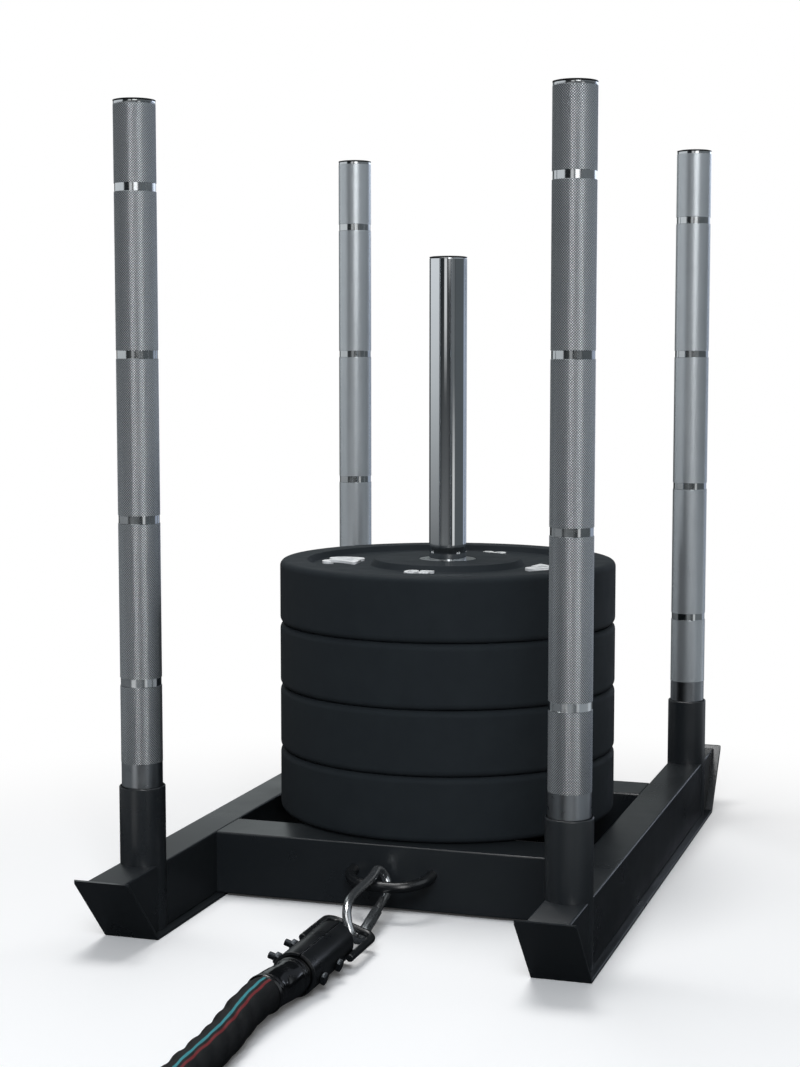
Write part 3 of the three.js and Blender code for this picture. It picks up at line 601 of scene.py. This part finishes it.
# skid: a flat bar with rounded edges carried along its bent line, both tips cut level and rounded in plan
def skidSkin():
    thick, bend, lip = sled["skidThickness"], sled["skidBend"], sled["lipAngle"]
    half, edge = sled["skidWidth"] / 2, sled["skidEdge"]
    section = rounded([(-half, 0), (half, 0), (half, thick), (-half, thick)], [edge] * 4, 4, 0.4)
    height = section[:, 1]
    centreY = sled["flat"] / 2 - (bend + thick) * np.tan(lip / 2)
    turn = np.linspace(0, lip, 9)[:, None]
    bent = np.stack([centreY + (bend + thick - height) * np.sin(turn),
                     bend + thick - (bend + thick - height) * np.cos(turn)], -1)
    top = sled["lipHeight"]
    foot = bent[-1]
    rises = np.array([0.35, 0.7, 0.8, 0.86, 0.9, 0.92, 0.94, 0.96, 0.975, 0.99, 1.0])[:, None]
    z = foot[:, 1] + (top - foot[:, 1]) * rises
    y = foot[:, 0] + (z - foot[:, 1]) / np.tan(lip)
    end = np.concatenate([bent, np.stack([y, z], -1)])
    flatRun = np.stack([np.zeros_like(height), height], -1)[None]
    rear = np.concatenate([flatRun, end])
    front = rear[:0:-1] * (-1, 1)
    line = np.concatenate([front, rear])
    x = np.broadcast_to(section[:, 0], line.shape[:2])
    reach = sled["flat"] / 2 + top / np.tan(lip)
    into = np.clip(np.abs(line[..., 0]) - (reach - sled["skidCorner"]), 0, sled["skidCorner"])
    allowed = half - sled["skidCorner"] + np.sqrt(sled["skidCorner"] ** 2 - into ** 2 + 0.01)
    x = np.sign(x) * np.minimum(np.abs(x), allowed)
    return np.stack([x, line[..., 0], line[..., 1]], -1)


for side, sign in leftRight:
    rings = skidSkin() + (sign * sled["railX"], 0, 0)
    addPainted(f"{side}Skid", skin(rings), f"{side}_skid")
print("frame made")

# ---- sockets, poles and caps

pole = {
    "radius": 25, "top": 987, "bandCut": 0.7, "bandWidth": 10, "bandPitch": 194.2, "lowestBand": 305,
    "bands": 4, "knurlFrom": 207.8, "knurlTo": 983.4, "knurlColumns": 104, "knurlStep": 1.5,
    "knurlDepth": 0.28, "relief": {"front": 1.0, "rear": 0.25}, "footInset": 0.35, "topInset": 0.25,
    "rimInset": 0.7, "knurlGap": 0.4, "wallRun": 0.3,
}
socket = {"inner": 25.3, "outer": 27.7, "top": 178.6, "round": 1.6, "innerRound": 0.5, "columns": 72}
cap = {"thickness": 2.6, "dome": 1.4, "gap": 0.3, "polePlug": 21, "postPlug": 20, "plugLength": 18,
       "columns": 64}


# domed cap whose plug sits in a tube's end
def capSkin(radius, plug, top, place):
    seat = top + cap["gap"]
    share = np.linspace(1, 0.02, 10)[:, None]
    rise = seat + (cap["thickness"] - cap["dome"]) + cap["dome"] * np.sqrt(1 - share ** 2)
    foot = [(plug, seat - cap["plugLength"]), (plug, seat), (radius - 0.1, seat), (radius, seat + 0.2)]
    profile = np.concatenate([foot, np.concatenate([radius * share, rise], -1)])
    return revolved(profile, cap["columns"], place)


# pole: rings of points up the tube; on the knurled lengths every other point of the lattice stands up, so
# that each peak and its four low neighbours make a pyramid
def poleSkin(relief):
    edges = [pole["knurlFrom"]]
    for i in range(pole["bands"]):
        middle = pole["lowestBand"] + i * pole["bandPitch"]
        edges += [middle - pole["bandWidth"] / 2, middle + pole["bandWidth"] / 2]
    edges.append(pole["knurlTo"])
    radius, columns, depth = pole["radius"], pole["knurlColumns"], pole["knurlDepth"] * relief
    deep = radius - pole["bandCut"]
    gap, wall = pole["knurlGap"], pole["wallRun"]
    heights = [sled["base"], edges[0] - 2 * gap, edges[0] - gap]
    sizes, cut = [radius - pole["footInset"]] * 3, [0, 0, 0]
    for low, high in zip(edges[::2], edges[1::2]):
        count = int(round((high - low) / pole["knurlStep"] / 2)) * 2
        level = np.linspace(low, high, count + 1)
        heights += [low, *level, high]
        sizes += [radius - depth, *[radius] * (count + 1), radius - depth]
        cut += [0, *[1] * (count + 1), 0]
        if high < pole["knurlTo"]:
            above = high + pole["bandWidth"]
            heights += [high + wall, high + 2 * wall, above - 2 * wall, above - wall]
            sizes += [deep] * 4
            cut += [0] * 4
    heights += [edges[-1] + 0.1, pole["top"] - 0.5, pole["top"]]
    sizes += [radius - pole["topInset"]] * 2 + [radius - pole["rimInset"]]
    cut += [0, 0, 0]
    heights, sizes, cut = (np.array(a, float)[:, None] for a in (heights, sizes, cut))
    row, column = np.meshgrid(np.arange(len(heights)), np.arange(columns), indexing="ij")
    low = (row + column) % 2 == 1
    size = sizes - cut * low * depth
    return lathe(size, fullTurn(columns), heights), cut[:, 0] > 0, low, 1 - low * relief


# quads cut in two along the line between their low corners
def knurlFaces(rings, knurled, low):
    points, (quads, start, end) = skin(rings)
    columns = rings.shape[1]
    rows = quads[:, [0, 2]] // columns
    cutQuads = knurled[rows[:, 0]] & knurled[rows[:, 1]]
    lowFirst = low.ravel()[quads[:, 0]]
    a, b, c, d = quads[cutQuads].T
    first = lowFirst[cutQuads][:, None]
    one = np.where(first, np.stack([a, b, c], -1), np.stack([a, b, d], -1))
    two = np.where(first, np.stack([a, c, d], -1), np.stack([b, c, d], -1))
    return points, [quads[~cutQuads], start, end, one, two]


for side, sign in leftRight:
    for end, way in frontRear:
        corner = f"{side}_{end}"
        name = f"{side}{end.capitalize()}"
        place = np.array((sign * sled["railX"], way * sled["poleY"], 0))
        profile = rounded([(socket["inner"], sled["base"]), (socket["outer"], sled["base"]),
                           (socket["outer"], socket["top"]), (socket["inner"], socket["top"])],
                          [0, 0, socket["round"], socket["innerRound"]])
        addPainted(f"{name}Socket", revolved(profile, socket["columns"], place, True),
                   f"{corner}_socket")
        rings, knurled, low, peaks = poleSkin(pole["relief"][end])
        points, faceSets = knurlFaces(rings, knurled, low)
        mesh = makeMesh(f"{name}Pole", points + place, faceSets, 30)
        heights = np.concatenate([peaks.ravel(), [1, 1]]).astype(np.float32)
        mesh.attributes.new("knurlHeight", "FLOAT", "POINT").data.foreach_set("value", heights)
        plain = sum(len(faces) for faces in faceSets[:3])
        flags = np.arange(len(mesh.polygons)) < plain
        mesh.polygons.foreach_set("use_smooth", flags)
        centres = np.empty(len(mesh.polygons) * 3, np.float32)
        mesh.polygons.foreach_get("center", centres)
        foot = centres[2::3] < pole["knurlFrom"] * mm
        mesh.polygons.foreach_set("material_index", np.where(foot, 2, flags).astype(np.int32))
        steel = knurledSteel if end == "front" else wornKnurl
        makePiece(f"{name}Pole", mesh, [steel, turnedBand, collarSteel], f"{corner}_pole",
                  [f"{corner}_pole"])
        addPiece(f"{name}Cap", capSkin(pole["radius"], cap["polePlug"], pole["top"], place), capPlastic,
                 f"{corner}_pole", [f"{corner}_pole_cap"])
print("poles made")

# ---- weight post and plates

post = {"radius": 25, "inner": 21.4, "top": 820.4, "foot": 7.6, "y": 13, "round": 1.0, "columns": 128}
postPlace = np.array((0, post["y"], 0))
profile = [(0.2, post["foot"]), (post["radius"], post["foot"]), (post["radius"], post["foot"] + 1),
           (post["radius"], post["top"] - post["round"] - 0.5)]
bend = np.linspace(0, np.pi / 2, 5)
profile += [(post["radius"] - post["round"] * (1 - np.cos(a)),
             post["top"] - post["round"] * (1 - np.sin(a))) for a in bend]
profile += [(post["inner"], post["top"])]
addPiece("weightPost", revolved(profile, post["columns"], postPlace), postChrome, "frame",
         ["weight_post"])
addPiece("weightPostCap", capSkin(post["radius"], cap["postPlug"], post["top"], postPlace), capPlastic,
         "frame", ["weight_post_cap"])

plate = {
    "count": 4, "pitch": 84, "base": 84.6, "thickness": 83.7, "radius": 225, "edge": 8, "rim": 188,
    "hub": 98, "recess": 8.5, "rimSlope": 4, "hubSlope": 6, "bore": 28.9, "flange": 38.3, "seat": 3.7,
    "insertInner": 25.4, "insertOuter": 28.6, "insertFlange": 38, "insertGap": 0.4, "insertSeat": 3.4,
    "columns": 192, "number": "20", "numberHeight": 46, "numberDepth": 3.2, "numberBevel": 0.25,
    "numberWeight": 0.03,
    # each number: its bearing, distance from the middle and share of the full height
    "numberPlaces": [(184, 142, 1.0), (352, 142, 1.0), (268, 119, 0.55), (80, 142, 0.55)],
}
t = plate["thickness"]
face = [(plate["bore"], t - plate["seat"]), (plate["flange"], t - plate["seat"]), (plate["flange"], t),
        (plate["hub"], t), (plate["hub"] + plate["hubSlope"], t - plate["recess"]),
        (plate["rim"] - plate["rimSlope"], t - plate["recess"]), (plate["rim"], t), (plate["radius"], t)]
faceRounds = [0, 0, 0.6, 1.5, 2.5, 2.5, 1.5, plate["edge"]]
under = [(radius, t - height) for radius, height in face[3:]][::-1]
underRounds = faceRounds[3:][::-1]
plateProfile = rounded(face + under + [(plate["bore"], 0)], faceRounds + underRounds + [0], 6, 0.8)
inner, outer, flange = plate["insertInner"], plate["insertOuter"], plate["insertFlange"]
gap, seat = plate["insertGap"], t - plate["insertSeat"]
insertProfile = rounded([(inner, gap), (outer, gap), (outer, seat), (flange, seat), (flange, t - gap),
                         (inner, t - gap)], [0.4, 0.4, 0, 0.4, 0.6, 0.8])


# a number as a thin raised mesh, its middle at the origin; figures stand 0.7 of the font's size
def numberMesh(words, height):
    curve = bpy.data.curves.new("number", "FONT")
    curve.body = words
    curve.align_x, curve.align_y = "CENTER", "CENTER"
    curve.size = height / 0.7
    curve.extrude = plate["numberDepth"] / 2
    curve.bevel_depth = plate["numberBevel"]
    curve.offset = plate["numberWeight"] * height
    holder = addObject("number", curve)
    mesh = bpy.data.meshes.new_from_object(holder.evaluated_get(bpy.context.evaluated_depsgraph_get()))
    bpy.data.objects.remove(holder)
    return mesh


for i in range(plate["count"]):
    place = np.array((0, post["y"], plate["base"] + i * plate["pitch"]))
    body = f"plate_{i + 1}"
    addPiece(f"plate{i + 1}", revolved(plateProfile, plate["columns"], place, True), rubber, body,
             [body])
    addPiece(f"plateInsert{i + 1}", revolved(insertProfile, plate["columns"] // 2, place, True),
             insertSteel, body, [f"plate_insert_{i + 1}"])
    for k, (angle, radius, size) in enumerate(plate["numberPlaces"]):
        mesh = numberMesh(plate["number"], plate["numberHeight"] * size)
        points = np.empty(len(mesh.vertices) * 3, dtype=np.float32)
        mesh.vertices.foreach_get("co", points)
        points = points.reshape(-1, 3)
        turn = np.radians(angle)
        outward = np.array((np.cos(turn), np.sin(turn), 0))
        sideways = np.array((-np.sin(turn), np.cos(turn), 0))
        spot = place + outward * radius + (0, 0, t - plate["recess"] + plate["numberDepth"] / 2)
        points = spot - points[:, :1] * sideways + points[:, 1:2] * outward + points[:, 2:] * (0, 0, 1)
        mesh.vertices.foreach_set("co", (points * mm).astype(np.float32).ravel())
        mesh.update()
        makePiece(f"plate{i + 1}Number{k + 1}", mesh, [numberPaint], body)
print("post and plates made")

# ---- tow eye, link and clamp

eye = {"rod": 14, "span": 102, "reach": 47, "sunk": 4, "height": 50, "bend": 41, "droop": np.radians(7)}
link = {
    "wire": 11, "centre": (-3, -273.65, 42.97), "aim": (4, -385, 25), "twist": np.radians(66),
    "backRadius": 15.6, "backRun": -17.4, "gate": 12,
    "limb": [(5, 16.2), (30, 19.2), (56, 22.8), (80, 25.2), (96, 24.6), (108, 21), (118, 14.2),
             (124.4, 5.6), (125.8, -3.4), (121.6, -11.2), (112.6, -15.3)],
    "engagement": 3, "nutStart": 37, "nutLength": 58, "nutCorners": 15,
}
clamp = {
    "place": (2, -437, 27), "roll": np.radians(18), "radius": 25, "wall": 3.5, "front": 14,
    "length": 139, "seam": 1.4, "seamRound": 1.1, "endRound": 0.4, "gap": 0.3,
    "bead": 1.15, "beadSwell": 0.3, "swellRun": 4.5, "beadSink": 1.2, "beadWander": 0.3,
    "wanderRun": 6, "beadInset": 2,
    "bowRod": 9, "bowBend": 13, "bowFront": 49.6, "bowStub": 38, "bolts": (-67, -116),
    "boltDiameter": 8, "headFlats": 13, "headHeight": 5.3, "nutHeight": 6.5, "tail": 8,
}

half = eye["span"] / 2
corners = [(-half, eye["sunk"], 0), (-half, -eye["reach"], 0), (half, -eye["reach"], 0),
           (half, eye["sunk"], 0)]
line = bentPath(corners, eye["bend"], 2.5)
turned = np.stack([line[:, 0], line[:, 1] * np.cos(eye["droop"]), line[:, 1] * np.sin(eye["droop"])], -1)
turned = turned + (0, -sled["crossFace"], eye["height"])
eyeUp = (0, -np.sin(eye["droop"]), np.cos(eye["droop"]))
addPiece("towEye", rod(turned, eye["rod"] / 2, eyeUp, 32), clampCoat, "frame",
         ["tow_eye"])

linkCentre = np.array(link["centre"])
linkRun = unit(np.array(link["aim"]) - linkCentre)
linkUp = unit(np.cross((-1, 0, 0), linkRun))
linkAcross = unit(np.cross(linkRun, linkUp))
linkSide = linkAcross * np.cos(link["twist"]) + linkUp * np.sin(link["twist"])


def linkPoint(run, side):
    return linkCentre + linkRun * np.asarray(run)[..., None] + linkSide * np.asarray(side)[..., None]


def linkArc(run, side, radius, way):
    turn = np.pi * np.arange(11) / 10
    return linkPoint(run + way * radius * np.sin(turn), side + way * radius * np.cos(turn))


# link: a long loop with a small back end, open under its nut; the other limb swells towards the front end
gateEnd = link["nutStart"] + link["nutLength"] - link["engagement"]
linkPath = smoothPath(np.concatenate([
    linkPoint([gateEnd - link["gate"], 0], [-link["backRadius"]] * 2),
    linkArc(link["backRun"], 0, link["backRadius"], -1),
    linkPoint(*np.array(link["limb"]).T),
    linkPoint([gateEnd + link["engagement"], gateEnd], [-link["backRadius"]] * 2),
]), 12)
linkNormal = np.cross(linkRun, linkSide)
addPiece("quickLink", rod(linkPath, link["wire"] / 2, linkNormal, 28), linkSteel, "tow_line",
         ["quick_link"])


# hexagonal bar between two places along a line, its ends chamfered to a circle
def hexBar(start, end, across, corners, chamfer=0.8):
    start, end = np.asarray(start, float), np.asarray(end, float)
    ahead = unit(end - start)
    length = np.linalg.norm(end - start)
    turn = fullTurn(48)
    wedge = np.cos(np.pi / 6) / np.cos((turn % (np.pi / 3)) - np.pi / 6)
    full = corners / 2 * wedge
    flats = corners / 2 * np.cos(np.pi / 6)
    places = np.array([0, chamfer, length - chamfer, length])
    chamfered = np.minimum(full, flats * 0.97)
    size = np.stack([chamfered, full, full, chamfered])
    path = start + ahead * places[:, None]
    return skin(carried(path, polar(size, turn), across))


nutStart = linkPoint(link["nutStart"], -link["backRadius"])
nutEnd = linkPoint(link["nutStart"] + link["nutLength"], -link["backRadius"])
addPiece("linkNut", hexBar(nutStart, nutEnd, linkNormal, link["nutCorners"]), nutSteel, "link_nut",
         ["quick_link_nut"])

# the clamp's own axes in the world
clampX = np.array((np.cos(clamp["roll"]), 0, -np.sin(clamp["roll"])))
clampZ = np.array((np.sin(clamp["roll"]), 0, np.cos(clamp["roll"])))


def inClamp(points):
    x, y, z = points[..., :1], points[..., 1:2], points[..., 2:]
    return clamp["place"] + x * clampX + y * (0, 1, 0) + z * clampZ


# half a shell: outer arc, two flat seam faces with rounded outer edges and inner arc, carried along the
# tube
def clampHalf(sign):
    outer, inner, soft = clamp["radius"], clamp["radius"] - clamp["wall"], clamp["seamRound"]
    gap = clamp["seam"] / 2
    end = np.arccos((gap + soft) / (outer - soft))
    arc = np.linspace(-end, end, 56)
    seamTop = polar(outer - soft, end) + polar(soft, np.linspace(end, np.pi, 7)[1:])
    back = np.linspace(1, -1, 40) * (np.arccos(gap / inner) - 0.02)
    section = np.concatenate([polar(outer, arc), seamTop, polar(inner, back), seamTop[::-1] * (1, -1)])
    soft = clamp["endRound"]
    y = -np.array([clamp["front"], clamp["front"] + soft, clamp["length"] - soft, clamp["length"]])
    shrink = np.array([soft, 0, 0, soft])
    toward = np.sign((outer + inner) / 2 - np.linalg.norm(section, axis=1))[:, None] * unit(section)
    rings = section[None] + toward[None] * shrink[:, None, None]
    x, z = sign * rings[..., 0], rings[..., 1]
    return skin(inClamp(np.stack([x, np.broadcast_to(y[:, None], x.shape), z], -1)))


for side, sign in leftRight:
    addPiece(f"clampHalf{side.capitalize()}", clampHalf(sign), clampCoat, "tow_line",
             [f"clamp_half_{side}"])

# sleeve plastic squeezed up into the seam, in an uneven bead
beadRun = np.linspace(clamp["front"] + clamp["beadInset"], clamp["length"] - clamp["beadInset"], 260)
beadSize = clamp["bead"] * (1 + clamp["beadSwell"] * ripple(beadRun / clamp["swellRun"], 0.0, 7.0))
wander = clamp["beadWander"] * ripple(beadRun / clamp["wanderRun"], 1.0, 3.0)
beadTop = clamp["radius"] - clamp["beadSink"] + wander
beadLine = inClamp(np.stack([0 * beadRun, -beadRun, beadTop], -1))
beadSection = polar(beadSize[:, None], fullTurn(14))
addPiece("seamBead", skin(carried(beadLine, beadSection, clampZ)), shrinkPlastic, "tow_line")

bowSide = clamp["radius"] + clamp["bowRod"] / 2 + clamp["gap"]
bowCorners = [(-bowSide, -clamp["bowStub"], 0), (-bowSide, clamp["bowFront"], 0),
              (bowSide, clamp["bowFront"], 0), (bowSide, -clamp["bowStub"], 0)]
bowLine = inClamp(bentPath(bowCorners, clamp["bowBend"], 2.0))
addPiece("clampBow", rod(bowLine, clamp["bowRod"] / 2, clampZ, 24, 1.2), clampCoat, "tow_line",
         ["clamp_bow"])

seat = clamp["radius"] + clamp["gap"]
corners = clamp["headFlats"] / np.cos(np.pi / 6)
for i, y in enumerate(clamp["bolts"]):
    axis = inClamp(np.array([(seat, y, 0), (seat + clamp["headHeight"], y, 0)]))
    shankEnds = inClamp(np.array([(-seat - clamp["nutHeight"] - clamp["tail"], y, 0), (seat + 1, y, 0)]))
    shank = rod(spread(shankEnds, 1.0), clamp["boltDiameter"] / 2, (0, 1, 0), 20, 0.8)
    addPiece(f"clampBolt{i + 1}", together(hexBar(*axis, (0, 1, 0), corners), shank), blackOxide,
             "tow_line", [f"clamp_bolt_{i + 1}"])
    nutAxis = inClamp(np.array([(-seat, y, 0), (-seat - clamp["nutHeight"], y, 0)]))
    addPiece(f"clampNut{i + 1}", hexBar(*nutAxis, (0, 1, 0), corners), blackOxide, "tow_line",
             [f"clamp_nut_{i + 1}"])
print("tow gear made")

# ---- floor, world and lamps

studio = {
    "floorSize": 30, "floorColour": "#a3a3a2", "floorLift": 0.03, "whiteFrom": 0.66, "whiteTo": 1.25,
    "shadeCentre": (0, -0.75, 0), "shadeShape": (1, 0.7, 1), "reflectedShadeColour": "#33363a",
    "reflectedShadeReach": (0.85, 1.05), "ambient": 0.2, "walls": "#26292b",
    # what metal sees all round it: bearings from the front and heights, in degrees, right and up; softness
    # of their edges in degrees; colour; how much it covers what is behind it; how many times its colour
    "panels": [
        ((-180, 180), (-80, -9), (3, 3), "#7d8184", 1.0, 1.0),
        ((-26, 26), (-60, -10), (14, 14), "#bcbfc1", 1.0, 1.0),
        ((-31, -5), (-24, -9), (5, 4), "#ffffff", 0.9, 1.0),
        ((-60, 30), (48, 80), (8, 6), "#ffffff", 1.0, 1.4),
        ((50, 118), (-55, -9), (5, 5), "#b4babf", 1.0, 1.0),
        ((118, 150), (-55, -9), (5, 5), "#e6ebf0", 1.0, 1.0),
        ((-119, -39), (-3, 11), (3, 7), "#f4f8fb", 1.0, 0.85),
        ((17, 39), (6, 46), (5, 5), "#ffffff", 1.0, 4.4),
        ((-7, 9), (0, 9), (3, 1.5), "#ffffff", 0.75, 1.0),
        ((33, 58), (-3, 5), (3, 3), "#a6abae", 0.35, 1.0),
        ((45, 60), (-10, -2.5), (3, 2), "#ffffff", 0.75, 1.0),
        ((60, 127), (-8, 8), (3, 3), "#565b5e", 1.0, 1.0),
        ((48, 127), (8, 60), (5, 5), "#c6ccd1", 1.0, 1.0),
        ((127, 186), (-8, 3), (3, 3), "#b8c3d6", 0.8, 1.0),
        ((-186, -135), (4, 50), (6, 6), "#c4cbcc", 0.35, 1.0),
        ((-162, -135), (4, 50), (4, 6), "#c4cbcc", 0.8, 1.0),
        ((127, 186), (3, 50), (3, 3), "#bcc4d2", 0.3, 1.0),
        ((140, 182), (4, 9), (3, 2), "#dfe8f8", 1.0, 2.2),
    ],
    "lamps": [
        {"name": "overhead", "place": (-0.5, 0.25, 3.1), "aim": (0, 0, 0.3), "size": (1.5, 1.5),
         "power": 51, "colour": "#ffffff", "mirrored": True},
        {"name": "front", "place": (0.8, -3.4, 2.3), "aim": (0, 0, 0.4), "size": (1.8, 1.4),
         "power": 84, "colour": "#f4f9ff", "mirrored": False},
    ],
}
floorMesh = bpy.data.meshes.new("floor")
edge = studio["floorSize"] / 2
floorMesh.from_pydata([(-edge, -edge, 0), (edge, -edge, 0), (edge, edge, 0), (-edge, edge, 0)], [],
                      [(0, 1, 2, 3)])
floor = addObject("floor", floorMesh)
white = (1, 1, 1, 1)


# shader of one colour, and of a strength where it has one
def plainShader(tree, kind, colour, **strength):
    return addNode(tree, kind, None, {"Color": colour, **strength}).outputs[0]


# the first shader where the factor is 0, the second where it is 1
def either(tree, factor, first, second):
    return addNode(tree, "MixShader", None, {0: factor, 1: first, 2: second}).outputs[0]


# floor: the camera sees it white with the sled's shade on it, gloss sees it close by in a dark colour that
# is painted shade in its reflections and past its edge the walls, and all other light sees a plain pale
# floor
material, tree, place = newMaterial("paleFloor")
path = addNode(tree, "LightPath")
reach = vectorMaths(tree, "LENGTH", place)["Value"]
shaded = addNode(tree, "AddShader", None, {
    0: plainShader(tree, "BsdfDiffuse", white),
    1: plainShader(tree, "Emission", white, Strength=studio["floorLift"])}).outputs[0]
outward = vectorMaths(tree, "SUBTRACT", place, studio["shadeCentre"])[0]
outward = vectorMaths(tree, "MULTIPLY", outward, studio["shadeShape"])[0]
shadeReach = vectorMaths(tree, "LENGTH", outward)["Value"]
seen = either(tree, eased(tree, shadeReach, studio["whiteFrom"], studio["whiteTo"]), shaded,
              plainShader(tree, "Emission", white, Strength=1.0))
# painted shade for reflections: glossy rays see the floor near the sled dark grey, and past it nothing
reflectedShade = either(tree, eased(tree, reach, *studio["reflectedShadeReach"]),
             plainShader(tree, "BsdfDiffuse", srgb(studio["reflectedShadeColour"])),
             addNode(tree, "BsdfTransparent").outputs[0])
mirrored = either(tree, path.outputs["Is Glossy Ray"],
                  plainShader(tree, "BsdfDiffuse", srgb(studio["floorColour"])), reflectedShade)
addNode(tree, "OutputMaterial", None, {
    "Surface": either(tree, path.outputs["Is Camera Ray"], mirrored, seen)})
floorMesh.materials.append(material)

world = bpy.data.worlds.new("studio")
bpy.context.scene.world = world
world.use_nodes = True
tree = world.node_tree
tree.nodes.clear()
path = addNode(tree, "LightPath")
split = addNode(tree, "SeparateXYZ", None, {0: addNode(tree, "TexCoord").outputs["Generated"]})
bearing = maths(tree, "ARCTAN2", split.outputs[0], maths(tree, "MULTIPLY", split.outputs[1], -1.0))
rise = maths(tree, "ARCSINE", split.outputs[2])
colour = srgb(studio["walls"])
for bearings, heights, softness, panelColour, mask, level in studio["panels"]:
    for value, span, soft in zip((bearing, rise), (bearings, heights), softness):
        for limit, way in zip(span, (soft, -soft)):
            start, end = np.radians((limit - way, limit + way))
            mask = maths(tree, "MULTIPLY", mask, eased(tree, value, start, end))
    colour = blend(tree, mask, colour, tuple(np.array(srgb(panelColour)) * level))
lit = either(tree, path.outputs["Is Glossy Ray"],
             plainShader(tree, "Background", white, Strength=studio["ambient"]),
             plainShader(tree, "Background", colour, Strength=1.0))
addNode(tree, "OutputWorld", None, {
    "Surface": either(tree, path.outputs["Is Camera Ray"], lit,
                      plainShader(tree, "Background", white, Strength=1.0))})


# rectangular lamp turned towards a point
def addLamp(lamp):
    data = bpy.data.lights.new(lamp["name"], "AREA")
    data.shape = "RECTANGLE"
    data.size, data.size_y = lamp["size"]
    data.energy = lamp["power"]
    data.color = srgb(lamp["colour"])[:3]
    holder = addObject(lamp["name"], data)
    way = np.array(lamp["aim"]) - np.array(lamp["place"])
    across = np.hypot(way[0], way[1])
    holder.location = lamp["place"]
    holder.visible_glossy = lamp["mirrored"]
    holder.rotation_euler = (np.arctan2(across, -way[2]), 0, np.arctan2(way[1], way[0]) - np.pi / 2)


for lamp in studio["lamps"]:
    addLamp(lamp)
bpy.context.scene.view_settings.view_transform = "Standard"
print("studio made")
